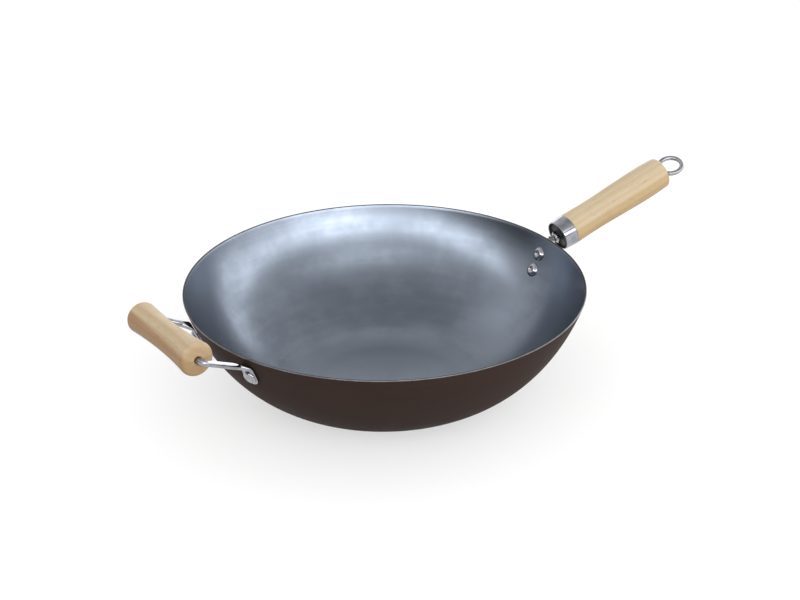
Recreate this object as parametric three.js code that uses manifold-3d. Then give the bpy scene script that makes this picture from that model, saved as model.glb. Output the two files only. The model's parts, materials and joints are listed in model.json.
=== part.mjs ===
// A wok: a spun steel bowl, a riveted strap with a turned wooden grip, and a wire bail with a wooden roll.
// Millimetres, +Z up. The origin is the centre of the flat base, and the grip points along +X.

import * as THREE from 'three';
import { mergeVertices } from 'three/addons/utils/BufferGeometryUtils.js';
import Module from 'manifold-3d';

const wasm = await Module();
wasm.setup();

const { degToRad, lerp, smoothstep } = THREE.MathUtils;

// Clearances
const SEAT_GAP = 0.3; // between two faces that bear on each other
const HEAD_GAP = 0.5; // under a rivet head inside the bowl, where the wall curves away from it
const BORE_GAP = 0.3; // round a shank in its hole
const SPIN_GAP = 0.45; // round the wire that the roll turns on

// Bowl, outer surface
const RIM_RADIUS = 177.8;
const BOWL_HEIGHT = 97;
const FLAT_RADIUS = 65;
const RIM_SLOPE_DEG = 70;
const KNUCKLE_PULL = 37.5; // how far the flat carries on before the wall turns up
const RIM_PULL = 76.7; // how far the rim's slope carries on down the wall
const WALL = 1.6;

// Rivets
const SHANK_RADIUS = 2.4;
const DOME = { radius: 6.5, height: 3.2 };
const TAIL = { radius: 3.4, height: 1.1 };
const RIVET_PITCH = 14.2;
const RIVET_BELOW_BEND = 2.7; // from the strap's bend to the edge of the upper rivet's tail

// Strap that carries the grip
const STRAP = 2.6;
const STRAP_WIDTH = 24;
const TONGUE_WIDTH = 10;
const STRAP_CORNER = 5;
const STRAP_TOE = 10; // below the lower rivet
const STRAP_BEND = 6;
const ROOT_DEPTH = 6.2; // where the grip's axis meets the strap, below the rim
const TONGUE_LENGTH = 7;

// Stud, nut and washer
const HANDLE_TILT_DEG = 16.1;
const STUD_RADIUS = 3;
const STUD_BARE = 7.8; // from the strap's tongue to the mouth of the ferrule
const STUD_IN_GRIP = 46;
const STUD_POINT = 1;
const NUT_ACROSS_FLATS = 10;
const NUT_HEIGHT = 5;
const WASHER = 1.5;
const MOUTH_RECESS = 2.2;

// Ferrule and main grip
const FERRULE_MOUTH_RADIUS = 13.9;
const FERRULE_END_RADIUS = 15;
const FERRULE_LENGTH = 12.8;
const FERRULE_WALL = 1;
const GRIP_STEP = 0.3; // how far the wood lies below the ferrule's end
const GRIP_LENGTH = 112.2;
const GRIP_WAIST_RADIUS = 14.2;
const GRIP_WAIST_AT = 30.2; // from the ferrule
const GRIP_BELLY_RADIUS = 15.5;
const GRIP_BELLY_FROM_END = 27;
const GRIP_END_RADIUS = 14.8;
const GRIP_EDGE = 3;

// Hang loop: a ring on two legs that stand in the grip
const LOOP_WIRE_RADIUS = 2.25;
const LOOP_RADIUS = 10.8;
const LOOP_LEG_HALF = 5;
const LOOP_NECK_BEND = 4;
const LOOP_STAND = 0.6; // straight length of leg outside the grip
const LOOP_IN_GRIP = 15;
const LOOP_TWIST_DEG = 12;

// Bail and its flattened ends
const BAIL_RADIUS = 2.75;
const BAIL_OUT = 37.9; // roll's axis beyond the rim
const BAIL_RISE = 11.8; // roll's axis above the rim
const BAIL_END_GAP = 2.45; // between the roll's end and the bail's corner
const BAIL_TOE_IN = 9.2; // how far each arm leans towards the middle
const BAIL_BEND = 5;
const BAIL_ROOT_DEPTH = 9.9; // where an arm meets its flattened end, below the rim
const PADDLE = 2;
const PADDLE_WIDTH = 15;
const PADDLE_RIVET_DROP = 10.1; // from the arm to the rivet
const PADDLE_TOE = 8; // below the rivet
const PADDLE_FLARE = 9; // length of arm that widens from wire to flat
const PADDLE_SQUARENESS = 0.35; // power of the flat section's outline, where 1 is an ellipse

// Helper roll
const ROLL_LENGTH = 100;
const ROLL_NEAR_RADIUS = 15.8;
const ROLL_WAIST_RADIUS = 12.5;
const ROLL_FAR_RADIUS = 14.2;
const ROLL_WAIST_AT = 6; // beyond the middle, on the far side
const ROLL_EDGE = 4.6;
const ROLL_CHAMFER = 1;

// How finely the round stretches are cut
const BOWL_SIDES = 80;
const WALL_STEPS = 12;
const TURNED_SIDES = 28;
const SMALL_SIDES = 20;
const WIRE_SIDES = 16;
const LOOP_SIDES = 10;
const LOOP_STEPS = 56;
const BEND_STEPS = 6;
const FLARE_STEPS = 4;
const RING_STEPS = 24;
const HEAD_STEPS = 4;
const EDGE_STEPS = 3;
const GRIP_STEPS = 14;

const material = {
  bowl: new THREE.MeshStandardMaterial({ color: 0x6f7984, roughness: 0.4, metalness: 0.9 }),
  chrome: () => new THREE.MeshStandardMaterial({ color: 0xc8ccd2, roughness: 0.15, metalness: 1 }),
  steel: () => new THREE.MeshStandardMaterial({ color: 0x8d9096, roughness: 0.35, metalness: 1 }),
  darkSteel: new THREE.MeshStandardMaterial({ color: 0x3a3d3b, roughness: 0.5, metalness: 0.8 }),
  wood: () => new THREE.MeshStandardMaterial({ color: 0xd3bb93, roughness: 0.55, metalness: 0 }),
};

const wallCurve = new THREE.CubicBezierCurve(
  new THREE.Vector2(FLAT_RADIUS, 0),
  new THREE.Vector2(FLAT_RADIUS + KNUCKLE_PULL, 0),
  new THREE.Vector2(
    RIM_RADIUS - RIM_PULL * Math.cos(degToRad(RIM_SLOPE_DEG)),
    BOWL_HEIGHT - RIM_PULL * Math.sin(degToRad(RIM_SLOPE_DEG)),
  ),
  new THREE.Vector2(RIM_RADIUS, BOWL_HEIGHT),
);

// The outer wall's point, upward direction and outward normal at a share of its curve
function wallPoint(share) {
  const point = wallCurve.getPoint(share);
  const up = wallCurve.getTangent(share);
  return { point, up, normal: new THREE.Vector2(up.y, -up.x) };
}

// The same at a depth below the rim, found by halving
function wallAt(depth) {
  let low = 0;
  let high = 1;
  while (high - low > Number.EPSILON) {
    const middle = (low + high) / 2;
    if (middle === low || middle === high) break;
    if (wallCurve.getPoint(middle).y < BOWL_HEIGHT - depth) low = middle;
    else high = middle;
  }
  return wallPoint(high);
}

// A closed mesh as a solid that can be joined and cut
function solidOf(geometry) {
  const bare = geometry.clone();
  bare.deleteAttribute('normal');
  bare.deleteAttribute('uv');
  const merged = mergeVertices(bare);
  const corners = Array.from(merged.index.array);
  const triVerts = [];
  for (let i = 0; i < corners.length; i += 3) {
    const [a, b, c] = corners.slice(i, i + 3);
    if (a !== b && b !== c && c !== a) triVerts.push(a, b, c);
  }
  return new wasm.Manifold(new wasm.Mesh({
    numProp: 3,
    vertProperties: new Float32Array(merged.attributes.position.array),
    triVerts: new Uint32Array(triVerts),
  }));
}

// A solid back as a mesh
function geometryOf(solid) {
  const { vertProperties, triVerts } = solid.getMesh();
  const geometry = new THREE.BufferGeometry();
  geometry.setAttribute('position', new THREE.BufferAttribute(vertProperties, 3));
  geometry.setIndex(new THREE.BufferAttribute(triVerts, 1));
  return geometry;
}

function namedMesh(name, geometry, finish) {
  const mesh = new THREE.Mesh(geometry, finish);
  mesh.name = name;
  return mesh;
}

// A quarter round from the end of a turned piece to its side, or back
function quarterRound(centreRadius, centreHeight, radius, rise, steps) {
  return Array.from({ length: steps + 1 }, (_, i) => {
    const angle = (i / steps) * (Math.PI / 2);
    return new THREE.Vector2(centreRadius + radius * Math.sin(angle), centreHeight + rise * Math.cos(angle));
  });
}

// Points and directions round a corner, from one straight run into the next
function bend(corner, before, after, radius) {
  const angle = before.angleTo(after);
  const inward = after.clone().addScaledVector(before, -before.dot(after)).normalize();
  const start = corner.clone().addScaledVector(before, -radius * Math.tan(angle / 2));
  return Array.from({ length: BEND_STEPS + 1 }, (_, i) => {
    const turned = (angle * i) / BEND_STEPS;
    const point = start.clone()
      .addScaledVector(before, radius * Math.sin(turned))
      .addScaledVector(inward, radius * (1 - Math.cos(turned)));
    const along = before.clone().multiplyScalar(Math.cos(turned)).addScaledVector(inward, Math.sin(turned));
    return { point, along };
  });
}

// A frame on the outer wall whose own +Y points straight out of the wall
function wallSeat(azimuth, depth) {
  const { point, normal } = wallAt(depth);
  const turn = new THREE.Group();
  turn.rotation.z = azimuth;
  const seat = new THREE.Group();
  seat.position.set(point.x, 0, point.y);
  seat.rotation.set(0, -Math.atan2(normal.y, normal.x), -Math.PI / 2);
  turn.add(seat);
  turn.updateMatrixWorld(true);
  return seat;
}

function drillAt(seat) {
  const radius = SHANK_RADIUS + BORE_GAP;
  const reach = DOME.height + WALL + STRAP + TAIL.height;
  const drill = new THREE.CylinderGeometry(radius, radius, 2 * reach, SMALL_SIDES);
  return solidOf(drill.applyMatrix4(seat.matrixWorld));
}

function cutAll(solid, cutters) {
  return cutters.reduce((rest, cutter) => rest.subtract(cutter), solid);
}

// Rivet with one head inside the bowl and one outside the piece that it holds
function rivetGeometry(inner, outer, held) {
  const inside = -WALL - HEAD_GAP;
  const outside = held + 2 * SEAT_GAP;
  return new THREE.LatheGeometry([
    ...quarterRound(0, inside, inner.radius, -inner.height, HEAD_STEPS),
    new THREE.Vector2(SHANK_RADIUS, inside),
    new THREE.Vector2(SHANK_RADIUS, outside),
    ...quarterRound(0, outside, outer.radius, outer.height, HEAD_STEPS).reverse(),
  ], SMALL_SIDES);
}

function bowlGeometry(drills) {
  const shares = Array.from({ length: WALL_STEPS + 1 }, (_, i) => i / WALL_STEPS);
  const outer = shares.map((share) => wallPoint(share).point);
  const inner = shares
    .map((share) => wallPoint(share))
    .map(({ point, normal }) => point.clone().addScaledVector(normal, -WALL))
    .filter((point) => point.y < BOWL_HEIGHT - WALL)
    .reverse();
  const rimInside = new THREE.Vector2(
    RIM_RADIUS - WALL / Math.sin(degToRad(RIM_SLOPE_DEG)),
    BOWL_HEIGHT,
  );
  const shell = new THREE.LatheGeometry([
    new THREE.Vector2(0, 0),
    ...outer,
    rimInside,
    ...inner,
    new THREE.Vector2(0, WALL),
  ], BOWL_SIDES);
  return geometryOf(cutAll(solidOf(shell.rotateX(Math.PI / 2)), drills));
}

const handleAxis = new THREE.Vector3(
  Math.cos(degToRad(HANDLE_TILT_DEG)),
  0,
  Math.sin(degToRad(HANDLE_TILT_DEG)),
);

// The middle of a plate that lies on the wall at a depth, in the plane of the grip
function plateMiddle(depth, thickness) {
  const { point, up, normal } = wallAt(depth);
  const middle = point.clone().addScaledVector(normal, SEAT_GAP + thickness / 2);
  return {
    point: new THREE.Vector3(middle.x, 0, middle.y),
    along: new THREE.Vector3(up.x, 0, up.y),
  };
}

const strapRoot = plateMiddle(ROOT_DEPTH, STRAP);
const strapBend = bend(strapRoot.point, strapRoot.along, handleAxis, STRAP_BEND);
const strapBendDepth = BOWL_HEIGHT - strapBend[0].point.z;
const upperRivetDepth = strapBendDepth + RIVET_BELOW_BEND + TAIL.radius;
const lowerRivetDepth = upperRivetDepth + RIVET_PITCH;
const strapLowDepth = lowerRivetDepth + STRAP_TOE;
const mouthCentre = strapRoot.point.clone().addScaledVector(handleAxis, TONGUE_LENGTH + STUD_BARE);

function strapGeometry(drills) {
  const onWall = Array.from({ length: BEND_STEPS }, (_, i) => {
    return plateMiddle(lerp(strapLowDepth, strapBendDepth, i / BEND_STEPS), STRAP);
  });
  const tip = {
    point: strapRoot.point.clone().addScaledVector(handleAxis, TONGUE_LENGTH),
    along: handleAxis,
  };
  const route = [...onWall, ...strapBend, tip];
  const side = (offset) => route.map(({ point, along }) => {
    return new THREE.Vector2(point.x + along.z * offset, point.z - along.x * offset);
  });
  const section = new THREE.Shape([...side(STRAP / 2), ...side(-STRAP / 2).reverse()]);
  const strip = new THREE.ExtrudeGeometry(section, { depth: STRAP_WIDTH, bevelEnabled: false });
  strip.translate(0, 0, -STRAP_WIDTH / 2).rotateX(Math.PI / 2);

  const half = STRAP_WIDTH / 2;
  const neck = TONGUE_WIDTH / 2;
  const low = Math.min(...side(STRAP / 2).map((point) => point.y));
  const shoulder = wallAt(upperRivetDepth).point.y;
  const top = tip.point.z + STRAP;
  const blank = new THREE.Shape();
  blank.moveTo(STRAP_CORNER - half, low);
  blank.absarc(half - STRAP_CORNER, low + STRAP_CORNER, STRAP_CORNER, -Math.PI / 2, 0);
  blank.lineTo(half, shoulder);
  blank.lineTo(neck, strapBend[0].point.z + STRAP);
  blank.lineTo(neck, top);
  blank.lineTo(-neck, top);
  blank.lineTo(-neck, strapBend[0].point.z + STRAP);
  blank.lineTo(-half, shoulder);
  blank.absarc(STRAP_CORNER - half, low + STRAP_CORNER, STRAP_CORNER, Math.PI, 1.5 * Math.PI);
  const frontView = new THREE.ExtrudeGeometry(blank, { depth: tip.point.x + STRAP, bevelEnabled: false });
  frontView.applyMatrix4(new THREE.Matrix4().makeBasis(
    new THREE.Vector3(0, 1, 0),
    new THREE.Vector3(0, 0, 1),
    new THREE.Vector3(1, 0, 0),
  ));
  return geometryOf(cutAll(solidOf(strip).intersect(solidOf(frontView)), drills));
}

// The pieces on the grip's axis have their own +Y along it, from the mouth of the ferrule
function studGeometry() {
  const start = SEAT_GAP - STUD_BARE;
  return new THREE.LatheGeometry([
    new THREE.Vector2(0, start),
    new THREE.Vector2(STUD_RADIUS, start),
    new THREE.Vector2(STUD_RADIUS, STUD_IN_GRIP - STUD_POINT),
    new THREE.Vector2(STUD_RADIUS - STUD_POINT, STUD_IN_GRIP),
    new THREE.Vector2(0, STUD_IN_GRIP),
  ], SMALL_SIDES);
}

function nutGeometry() {
  const corner = NUT_ACROSS_FLATS / Math.sqrt(3);
  const hexagon = Array.from({ length: 6 }, (_, i) => {
    return new THREE.Vector2(corner * Math.cos((i * Math.PI) / 3), corner * Math.sin((i * Math.PI) / 3));
  });
  const outline = new THREE.Shape(hexagon);
  const hole = new THREE.Path().absarc(0, 0, STUD_RADIUS + BORE_GAP, 0, 2 * Math.PI);
  outline.holes.push(hole);
  const nut = new THREE.ExtrudeGeometry(outline, { depth: NUT_HEIGHT, bevelEnabled: false });
  return nut.rotateX(-Math.PI / 2).translate(0, MOUTH_RECESS - SEAT_GAP - NUT_HEIGHT, 0);
}

// Inner radius of the ferrule at a distance from its mouth
function ferruleBore(distance) {
  return lerp(FERRULE_MOUTH_RADIUS, FERRULE_END_RADIUS, distance / FERRULE_LENGTH) - FERRULE_WALL;
}

function washerGeometry() {
  const bore = STUD_RADIUS + BORE_GAP;
  const edge = ferruleBore(MOUTH_RECESS) - BORE_GAP;
  const back = MOUTH_RECESS + WASHER;
  return new THREE.LatheGeometry([
    new THREE.Vector2(bore, MOUTH_RECESS),
    new THREE.Vector2(edge, MOUTH_RECESS),
    new THREE.Vector2(edge, back),
    new THREE.Vector2(bore, back),
    new THREE.Vector2(bore, MOUTH_RECESS),
  ], TURNED_SIDES);
}

function ferruleGeometry() {
  const lip = FERRULE_WALL / 2;
  const mouth = quarterRound(FERRULE_MOUTH_RADIUS - lip, lip, lip, -lip, EDGE_STEPS);
  return new THREE.LatheGeometry([
    new THREE.Vector2(ferruleBore(0), 0),
    ...mouth,
    new THREE.Vector2(FERRULE_END_RADIUS, FERRULE_LENGTH),
    new THREE.Vector2(ferruleBore(FERRULE_LENGTH), FERRULE_LENGTH),
    new THREE.Vector2(ferruleBore(0), 0),
  ], TURNED_SIDES);
}

const gripStart = FERRULE_LENGTH + SEAT_GAP;
const gripEnd = FERRULE_LENGTH + GRIP_LENGTH;

function gripGeometry() {
  const bore = STUD_RADIUS + BORE_GAP;
  const spigotStart = MOUTH_RECESS + WASHER + SEAT_GAP;
  const boreEnd = STUD_IN_GRIP + BORE_GAP;
  const side = new THREE.SplineCurve([
    new THREE.Vector2(FERRULE_END_RADIUS - GRIP_STEP, gripStart),
    new THREE.Vector2(GRIP_WAIST_RADIUS, FERRULE_LENGTH + GRIP_WAIST_AT),
    new THREE.Vector2(GRIP_BELLY_RADIUS, gripEnd - GRIP_BELLY_FROM_END),
    new THREE.Vector2(GRIP_END_RADIUS, gripEnd - GRIP_EDGE),
  ]).getPoints(GRIP_STEPS);
  const edgeRadius = GRIP_END_RADIUS - GRIP_EDGE;
  const edge = quarterRound(edgeRadius, gripEnd - GRIP_EDGE, GRIP_EDGE, GRIP_EDGE, EDGE_STEPS);
  const turned = new THREE.LatheGeometry([
    new THREE.Vector2(0, boreEnd),
    new THREE.Vector2(bore, boreEnd),
    new THREE.Vector2(bore, spigotStart),
    new THREE.Vector2(ferruleBore(spigotStart) - BORE_GAP, spigotStart),
    new THREE.Vector2(ferruleBore(gripStart) - BORE_GAP, gripStart),
    ...side,
    ...edge.reverse().slice(1),
    new THREE.Vector2(0, gripEnd),
  ], TURNED_SIDES);
  const depth = LOOP_IN_GRIP + SEAT_GAP;
  const legHoles = [-1, 1].map((sign) => {
    const radius = LOOP_WIRE_RADIUS + BORE_GAP;
    const hole = new THREE.CylinderGeometry(radius, radius, 2 * depth, SMALL_SIDES);
    hole.translate(sign * LOOP_LEG_HALF, gripEnd, 0).rotateY(degToRad(LOOP_TWIST_DEG));
    return solidOf(hole);
  });
  return geometryOf(cutAll(solidOf(turned), legHoles));
}

function circle(radius, sides) {
  return new THREE.Shape(Array.from({ length: sides }, (_, i) => {
    const angle = (i * 2 * Math.PI) / sides;
    return new THREE.Vector2(radius * Math.cos(angle), radius * Math.sin(angle));
  }));
}

// The ring meets each leg in a neck that bends the other way, tangent to both
function loopGeometry() {
  const neckX = LOOP_LEG_HALF + LOOP_NECK_BEND;
  const neckY = gripEnd + LOOP_STAND;
  const ringY = neckY + Math.sqrt((LOOP_RADIUS + LOOP_NECK_BEND) ** 2 - neckX ** 2);
  const meeting = Math.atan2(neckY - ringY, neckX);
  const neck = Array.from({ length: BEND_STEPS }, (_, i) => {
    const angle = lerp(Math.PI, Math.PI + meeting, i / BEND_STEPS);
    return new THREE.Vector3(
      neckX + LOOP_NECK_BEND * Math.cos(angle),
      neckY + LOOP_NECK_BEND * Math.sin(angle),
      0,
    );
  });
  const ring = Array.from({ length: RING_STEPS + 1 }, (_, i) => {
    const angle = lerp(meeting, Math.PI - meeting, i / RING_STEPS);
    return new THREE.Vector3(LOOP_RADIUS * Math.cos(angle), ringY + LOOP_RADIUS * Math.sin(angle), 0);
  });
  const leg = [0, 0.5].map((share) => {
    return new THREE.Vector3(LOOP_LEG_HALF, lerp(gripEnd - LOOP_IN_GRIP, neckY, share), 0);
  });
  const side = [...leg, ...neck];
  const otherSide = side.map((stop) => new THREE.Vector3(-stop.x, stop.y, stop.z)).reverse();
  const route = new THREE.CatmullRomCurve3([...side, ...ring, ...otherSide]);
  return new THREE.ExtrudeGeometry(circle(LOOP_WIRE_RADIUS, LOOP_SIDES), {
    steps: LOOP_STEPS,
    extrudePath: route,
    bevelEnabled: false,
  });
}

const rollAxis = new THREE.Vector3(-RIM_RADIUS - BAIL_OUT, 0, BOWL_HEIGHT + BAIL_RISE);
const bailCornerY = ROLL_LENGTH / 2 + BAIL_END_GAP + BAIL_RADIUS;
const bailRootRadius = wallAt(BAIL_ROOT_DEPTH).point.x;
const paddleAngle = Math.asin((bailCornerY - BAIL_TOE_IN) / bailRootRadius);
const nearAzimuth = Math.PI + paddleAngle;
const farAzimuth = Math.PI - paddleAngle;
const paddleRivetDepth = BAIL_ROOT_DEPTH + PADDLE_RIVET_DROP;
const paddleLowDepth = paddleRivetDepth + PADDLE_TOE;

// Stations of the near half of the bail, from the tip of its flattened end to the middle of the roll
function bailHalf() {
  const upright = new THREE.Vector3(0, 0, 1);
  const onPaddle = (depth) => {
    const { point, along } = plateMiddle(depth, PADDLE);
    return {
      point: point.applyAxisAngle(upright, nearAzimuth),
      along: along.applyAxisAngle(upright, nearAzimuth),
    };
  };
  const root = onPaddle(BAIL_ROOT_DEPTH);
  const gripCorner = new THREE.Vector3(rollAxis.x, -bailCornerY, rollAxis.z);
  const arm = gripCorner.clone().sub(root.point).normalize();
  const inward = new THREE.Vector3(0, 1, 0);
  const lowBend = bend(root.point, root.along, arm, BAIL_BEND);
  const gripBend = bend(gripCorner, arm, inward, BAIL_BEND);
  const bendDepth = BOWL_HEIGHT - lowBend[0].point.z;
  const halfWidth = PADDLE_WIDTH / 2;
  const roundDepth = paddleLowDepth - halfWidth;
  const tip = Array.from({ length: BEND_STEPS }, (_, i) => {
    const angle = ((i + 1) / BEND_STEPS) * (Math.PI / 2);
    const depth = roundDepth + halfWidth * Math.cos(angle);
    return { ...onPaddle(depth), width: halfWidth * Math.sin(angle), flat: 1 };
  });
  const flat = [(bendDepth + roundDepth) / 2, bendDepth + SEAT_GAP].map((depth) => {
    return { ...onPaddle(depth), width: halfWidth, flat: 1 };
  });
  const bendLength = BAIL_BEND * root.along.angleTo(arm);
  const flare = [
    ...lowBend.map((stop, i) => ({ ...stop, run: (bendLength * i) / BEND_STEPS })),
    ...Array.from({ length: FLARE_STEPS }, (_, i) => (PADDLE_FLARE * (i + 1)) / FLARE_STEPS).map((far) => ({
      point: lowBend[BEND_STEPS].point.clone().addScaledVector(arm, far),
      along: arm,
      run: bendLength + far,
    })),
  ].map(({ point, along, run }) => {
    const flatness = 1 - smoothstep(run, 0, bendLength + PADDLE_FLARE);
    return { point, along, width: lerp(BAIL_RADIUS, halfWidth, flatness), flat: flatness };
  });
  const wire = [...gripBend, { point: rollAxis, along: inward }];
  return [...tip, ...flat, ...flare, ...wire.map((stop) => ({ ...stop, width: BAIL_RADIUS, flat: 0 }))];
}

// Rings of a wire that passes from a flat section to a round one, each ring square to the route
function bailRings(stations) {
  let across = new THREE.Vector3(0, 1, 0).applyAxisAngle(new THREE.Vector3(0, 0, 1), nearAzimuth);
  return stations.map(({ point, along, width, flat }) => {
    across = across.clone().addScaledVector(along, -across.dot(along)).normalize();
    const over = along.clone().cross(across);
    const height = lerp(BAIL_RADIUS, PADDLE / 2, flat);
    const power = lerp(1, PADDLE_SQUARENESS, flat);
    return Array.from({ length: WIRE_SIDES }, (_, k) => {
      const angle = ((k + 0.5) * 2 * Math.PI) / WIRE_SIDES;
      const rounded = (value) => Math.sign(value) * Math.abs(value) ** power;
      return point.clone()
        .addScaledVector(across, width * rounded(Math.cos(angle)))
        .addScaledVector(over, height * rounded(Math.sin(angle)));
    });
  });
}

function bailGeometry(drills) {
  const near = bailRings(bailHalf());
  const far = near.slice(0, -1).reverse()
    .map((ring) => ring.map((point) => new THREE.Vector3(point.x, -point.y, point.z)));
  const rings = [...near, ...far];
  const positions = rings.flat().flatMap((point) => point.toArray());
  const at = (ring, k) => ring * WIRE_SIDES + (k % WIRE_SIDES);
  const corners = [];
  for (let ring = 0; ring + 1 < rings.length; ring++) {
    for (let k = 0; k < WIRE_SIDES; k++) {
      corners.push(at(ring, k), at(ring, k + 1), at(ring + 1, k + 1));
      corners.push(at(ring, k), at(ring + 1, k + 1), at(ring + 1, k));
    }
  }
  const last = rings.length - 1;
  for (let k = 1; k + 1 < WIRE_SIDES; k++) {
    corners.push(at(0, 0), at(0, k + 1), at(0, k));
    corners.push(at(last, 0), at(last, k), at(last, k + 1));
  }
  const geometry = new THREE.BufferGeometry();
  geometry.setAttribute('position', new THREE.Float32BufferAttribute(positions, 3));
  geometry.setIndex(corners);
  return geometryOf(cutAll(solidOf(geometry), drills));
}

// Radius of the helper roll along its axis, drawn in at the waist
function rollRadius(y) {
  const end = y < ROLL_WAIST_AT ? ROLL_NEAR_RADIUS : ROLL_FAR_RADIUS;
  const reach = y < ROLL_WAIST_AT ? -ROLL_LENGTH / 2 : ROLL_LENGTH / 2;
  const share = (y - ROLL_WAIST_AT) / (reach - ROLL_WAIST_AT);
  return lerp(ROLL_WAIST_RADIUS, end, share ** 2);
}

function rollGeometry() {
  const bore = BAIL_RADIUS + SPIN_GAP;
  const half = ROLL_LENGTH / 2;
  const shoulder = half - ROLL_EDGE;
  const side = Array.from({ length: GRIP_STEPS + 1 }, (_, i) => {
    const y = lerp(-shoulder, shoulder, i / GRIP_STEPS);
    return new THREE.Vector2(rollRadius(y), y);
  });
  const edge = (y, sign) => {
    return quarterRound(rollRadius(y) - ROLL_EDGE, y, ROLL_EDGE, sign * ROLL_EDGE, EDGE_STEPS);
  };
  return new THREE.LatheGeometry([
    new THREE.Vector2(bore + ROLL_CHAMFER, -half),
    ...edge(-shoulder, -1).slice(0, -1),
    ...side,
    ...edge(shoulder, 1).slice(0, -1).reverse(),
    new THREE.Vector2(bore + ROLL_CHAMFER, half),
    new THREE.Vector2(bore, half - ROLL_CHAMFER),
    new THREE.Vector2(bore, ROLL_CHAMFER - half),
    new THREE.Vector2(bore + ROLL_CHAMFER, -half),
  ], TURNED_SIDES);
}

// Assembly
const wok = new THREE.Group();

const mainSeats = {
  main_rivet_upper: wallSeat(0, upperRivetDepth),
  main_rivet_lower: wallSeat(0, lowerRivetDepth),
};
const helperSeats = {
  helper_rivet_near: wallSeat(nearAzimuth, paddleRivetDepth),
  helper_rivet_far: wallSeat(farAzimuth, paddleRivetDepth),
};
const mainDrills = Object.values(mainSeats).map(drillAt);
const helperDrills = Object.values(helperSeats).map(drillAt);

wok.add(namedMesh('bowl', bowlGeometry([...mainDrills, ...helperDrills]), material.bowl));
wok.add(namedMesh('handle_bracket', strapGeometry(mainDrills), material.steel()));
for (const [name, seat] of Object.entries(mainSeats)) {
  seat.add(namedMesh(name, rivetGeometry(DOME, TAIL, STRAP), material.chrome()));
  wok.add(seat.parent);
}

const handle = new THREE.Group();
handle.position.copy(mouthCentre);
handle.rotation.set(0, -degToRad(HANDLE_TILT_DEG), -Math.PI / 2);
handle.add(namedMesh('tang_stud', studGeometry(), material.steel()));
handle.add(namedMesh('jam_nut', nutGeometry(), material.steel()));
handle.add(namedMesh('ferrule_washer', washerGeometry(), material.darkSteel));
handle.add(namedMesh('ferrule', ferruleGeometry(), material.chrome()));
handle.add(namedMesh('main_grip', gripGeometry(), material.wood()));
const hangLoop = namedMesh('hang_loop', loopGeometry(), material.chrome());
hangLoop.rotation.y = degToRad(LOOP_TWIST_DEG);
handle.add(hangLoop);
wok.add(handle);

wok.add(namedMesh('helper_bail', bailGeometry(helperDrills), material.chrome()));
for (const [name, seat] of Object.entries(helperSeats)) {
  seat.add(namedMesh(name, rivetGeometry(TAIL, DOME, PADDLE), material.chrome()));
  wok.add(seat.parent);
}
const roll = namedMesh('helper_grip', rollGeometry(), material.wood());
roll.position.copy(rollAxis);
wok.add(roll);

export default wok;
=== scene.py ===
"""The looks of a wok: a spun steel bowl, a turned grip on a riveted strap, and a wooden roll on a wire bail.

Metres, +Z up. The origin is the centre of the flat base, and the grip points along +X.
"""

import json
import logging
import math
from collections.abc import Callable, Iterable, Sequence
from dataclasses import dataclass, field
from enum import Enum
from itertools import pairwise
from typing import Any, ClassVar

import bmesh
import bpy
from mathutils import Matrix, Vector


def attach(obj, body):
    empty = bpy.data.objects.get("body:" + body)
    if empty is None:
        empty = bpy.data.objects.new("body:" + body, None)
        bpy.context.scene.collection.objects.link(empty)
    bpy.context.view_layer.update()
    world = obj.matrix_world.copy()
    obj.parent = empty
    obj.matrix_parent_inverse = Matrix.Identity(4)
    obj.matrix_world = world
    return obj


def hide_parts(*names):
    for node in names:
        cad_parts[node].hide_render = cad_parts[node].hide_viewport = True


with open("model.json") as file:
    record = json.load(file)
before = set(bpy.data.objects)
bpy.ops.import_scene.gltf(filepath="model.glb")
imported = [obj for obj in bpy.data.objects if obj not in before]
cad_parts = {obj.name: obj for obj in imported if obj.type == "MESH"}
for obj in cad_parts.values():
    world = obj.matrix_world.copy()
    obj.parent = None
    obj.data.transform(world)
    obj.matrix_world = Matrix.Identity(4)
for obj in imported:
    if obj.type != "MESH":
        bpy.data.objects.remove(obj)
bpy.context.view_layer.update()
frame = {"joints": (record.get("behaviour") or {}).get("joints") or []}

LOG = logging.getLogger("wok")
UPRIGHT = Vector((0, 0, 1))
FULL_TURN = 2 * math.pi
SMOOTH_BELOW = math.radians(32)
WELD_DISTANCE = 1e-6
HALVINGS = 50

Colour = tuple[float, float, float, float]
Place = tuple[float, float, float]
Profile = list[tuple[float, float]]
Ring = list[Vector]
Socket = bpy.types.NodeSocket
Rule = Callable[[Socket], Socket]
WHITE: Colour = (1.0, 1.0, 1.0, 1.0)


class Body(Enum):
    """The bodies that pieces ride on."""

    PAN = "pan"
    ROLL = "helper_roll"


class Slot(Enum):
    """The record's material slots."""

    BOWL_STEEL = "bowl_steel"
    PLAIN_STEEL = "plain_steel"
    CHROME_PLATE = "chrome_plate"
    DARK_STEEL = "dark_steel"
    TURNED_WOOD = "turned_wood"


class Zone(Enum):
    """The three surfaces of the bowl that are finished apart."""

    INSIDE = 0
    OUTSIDE = 1
    EDGE = 2


# Node trees

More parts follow.
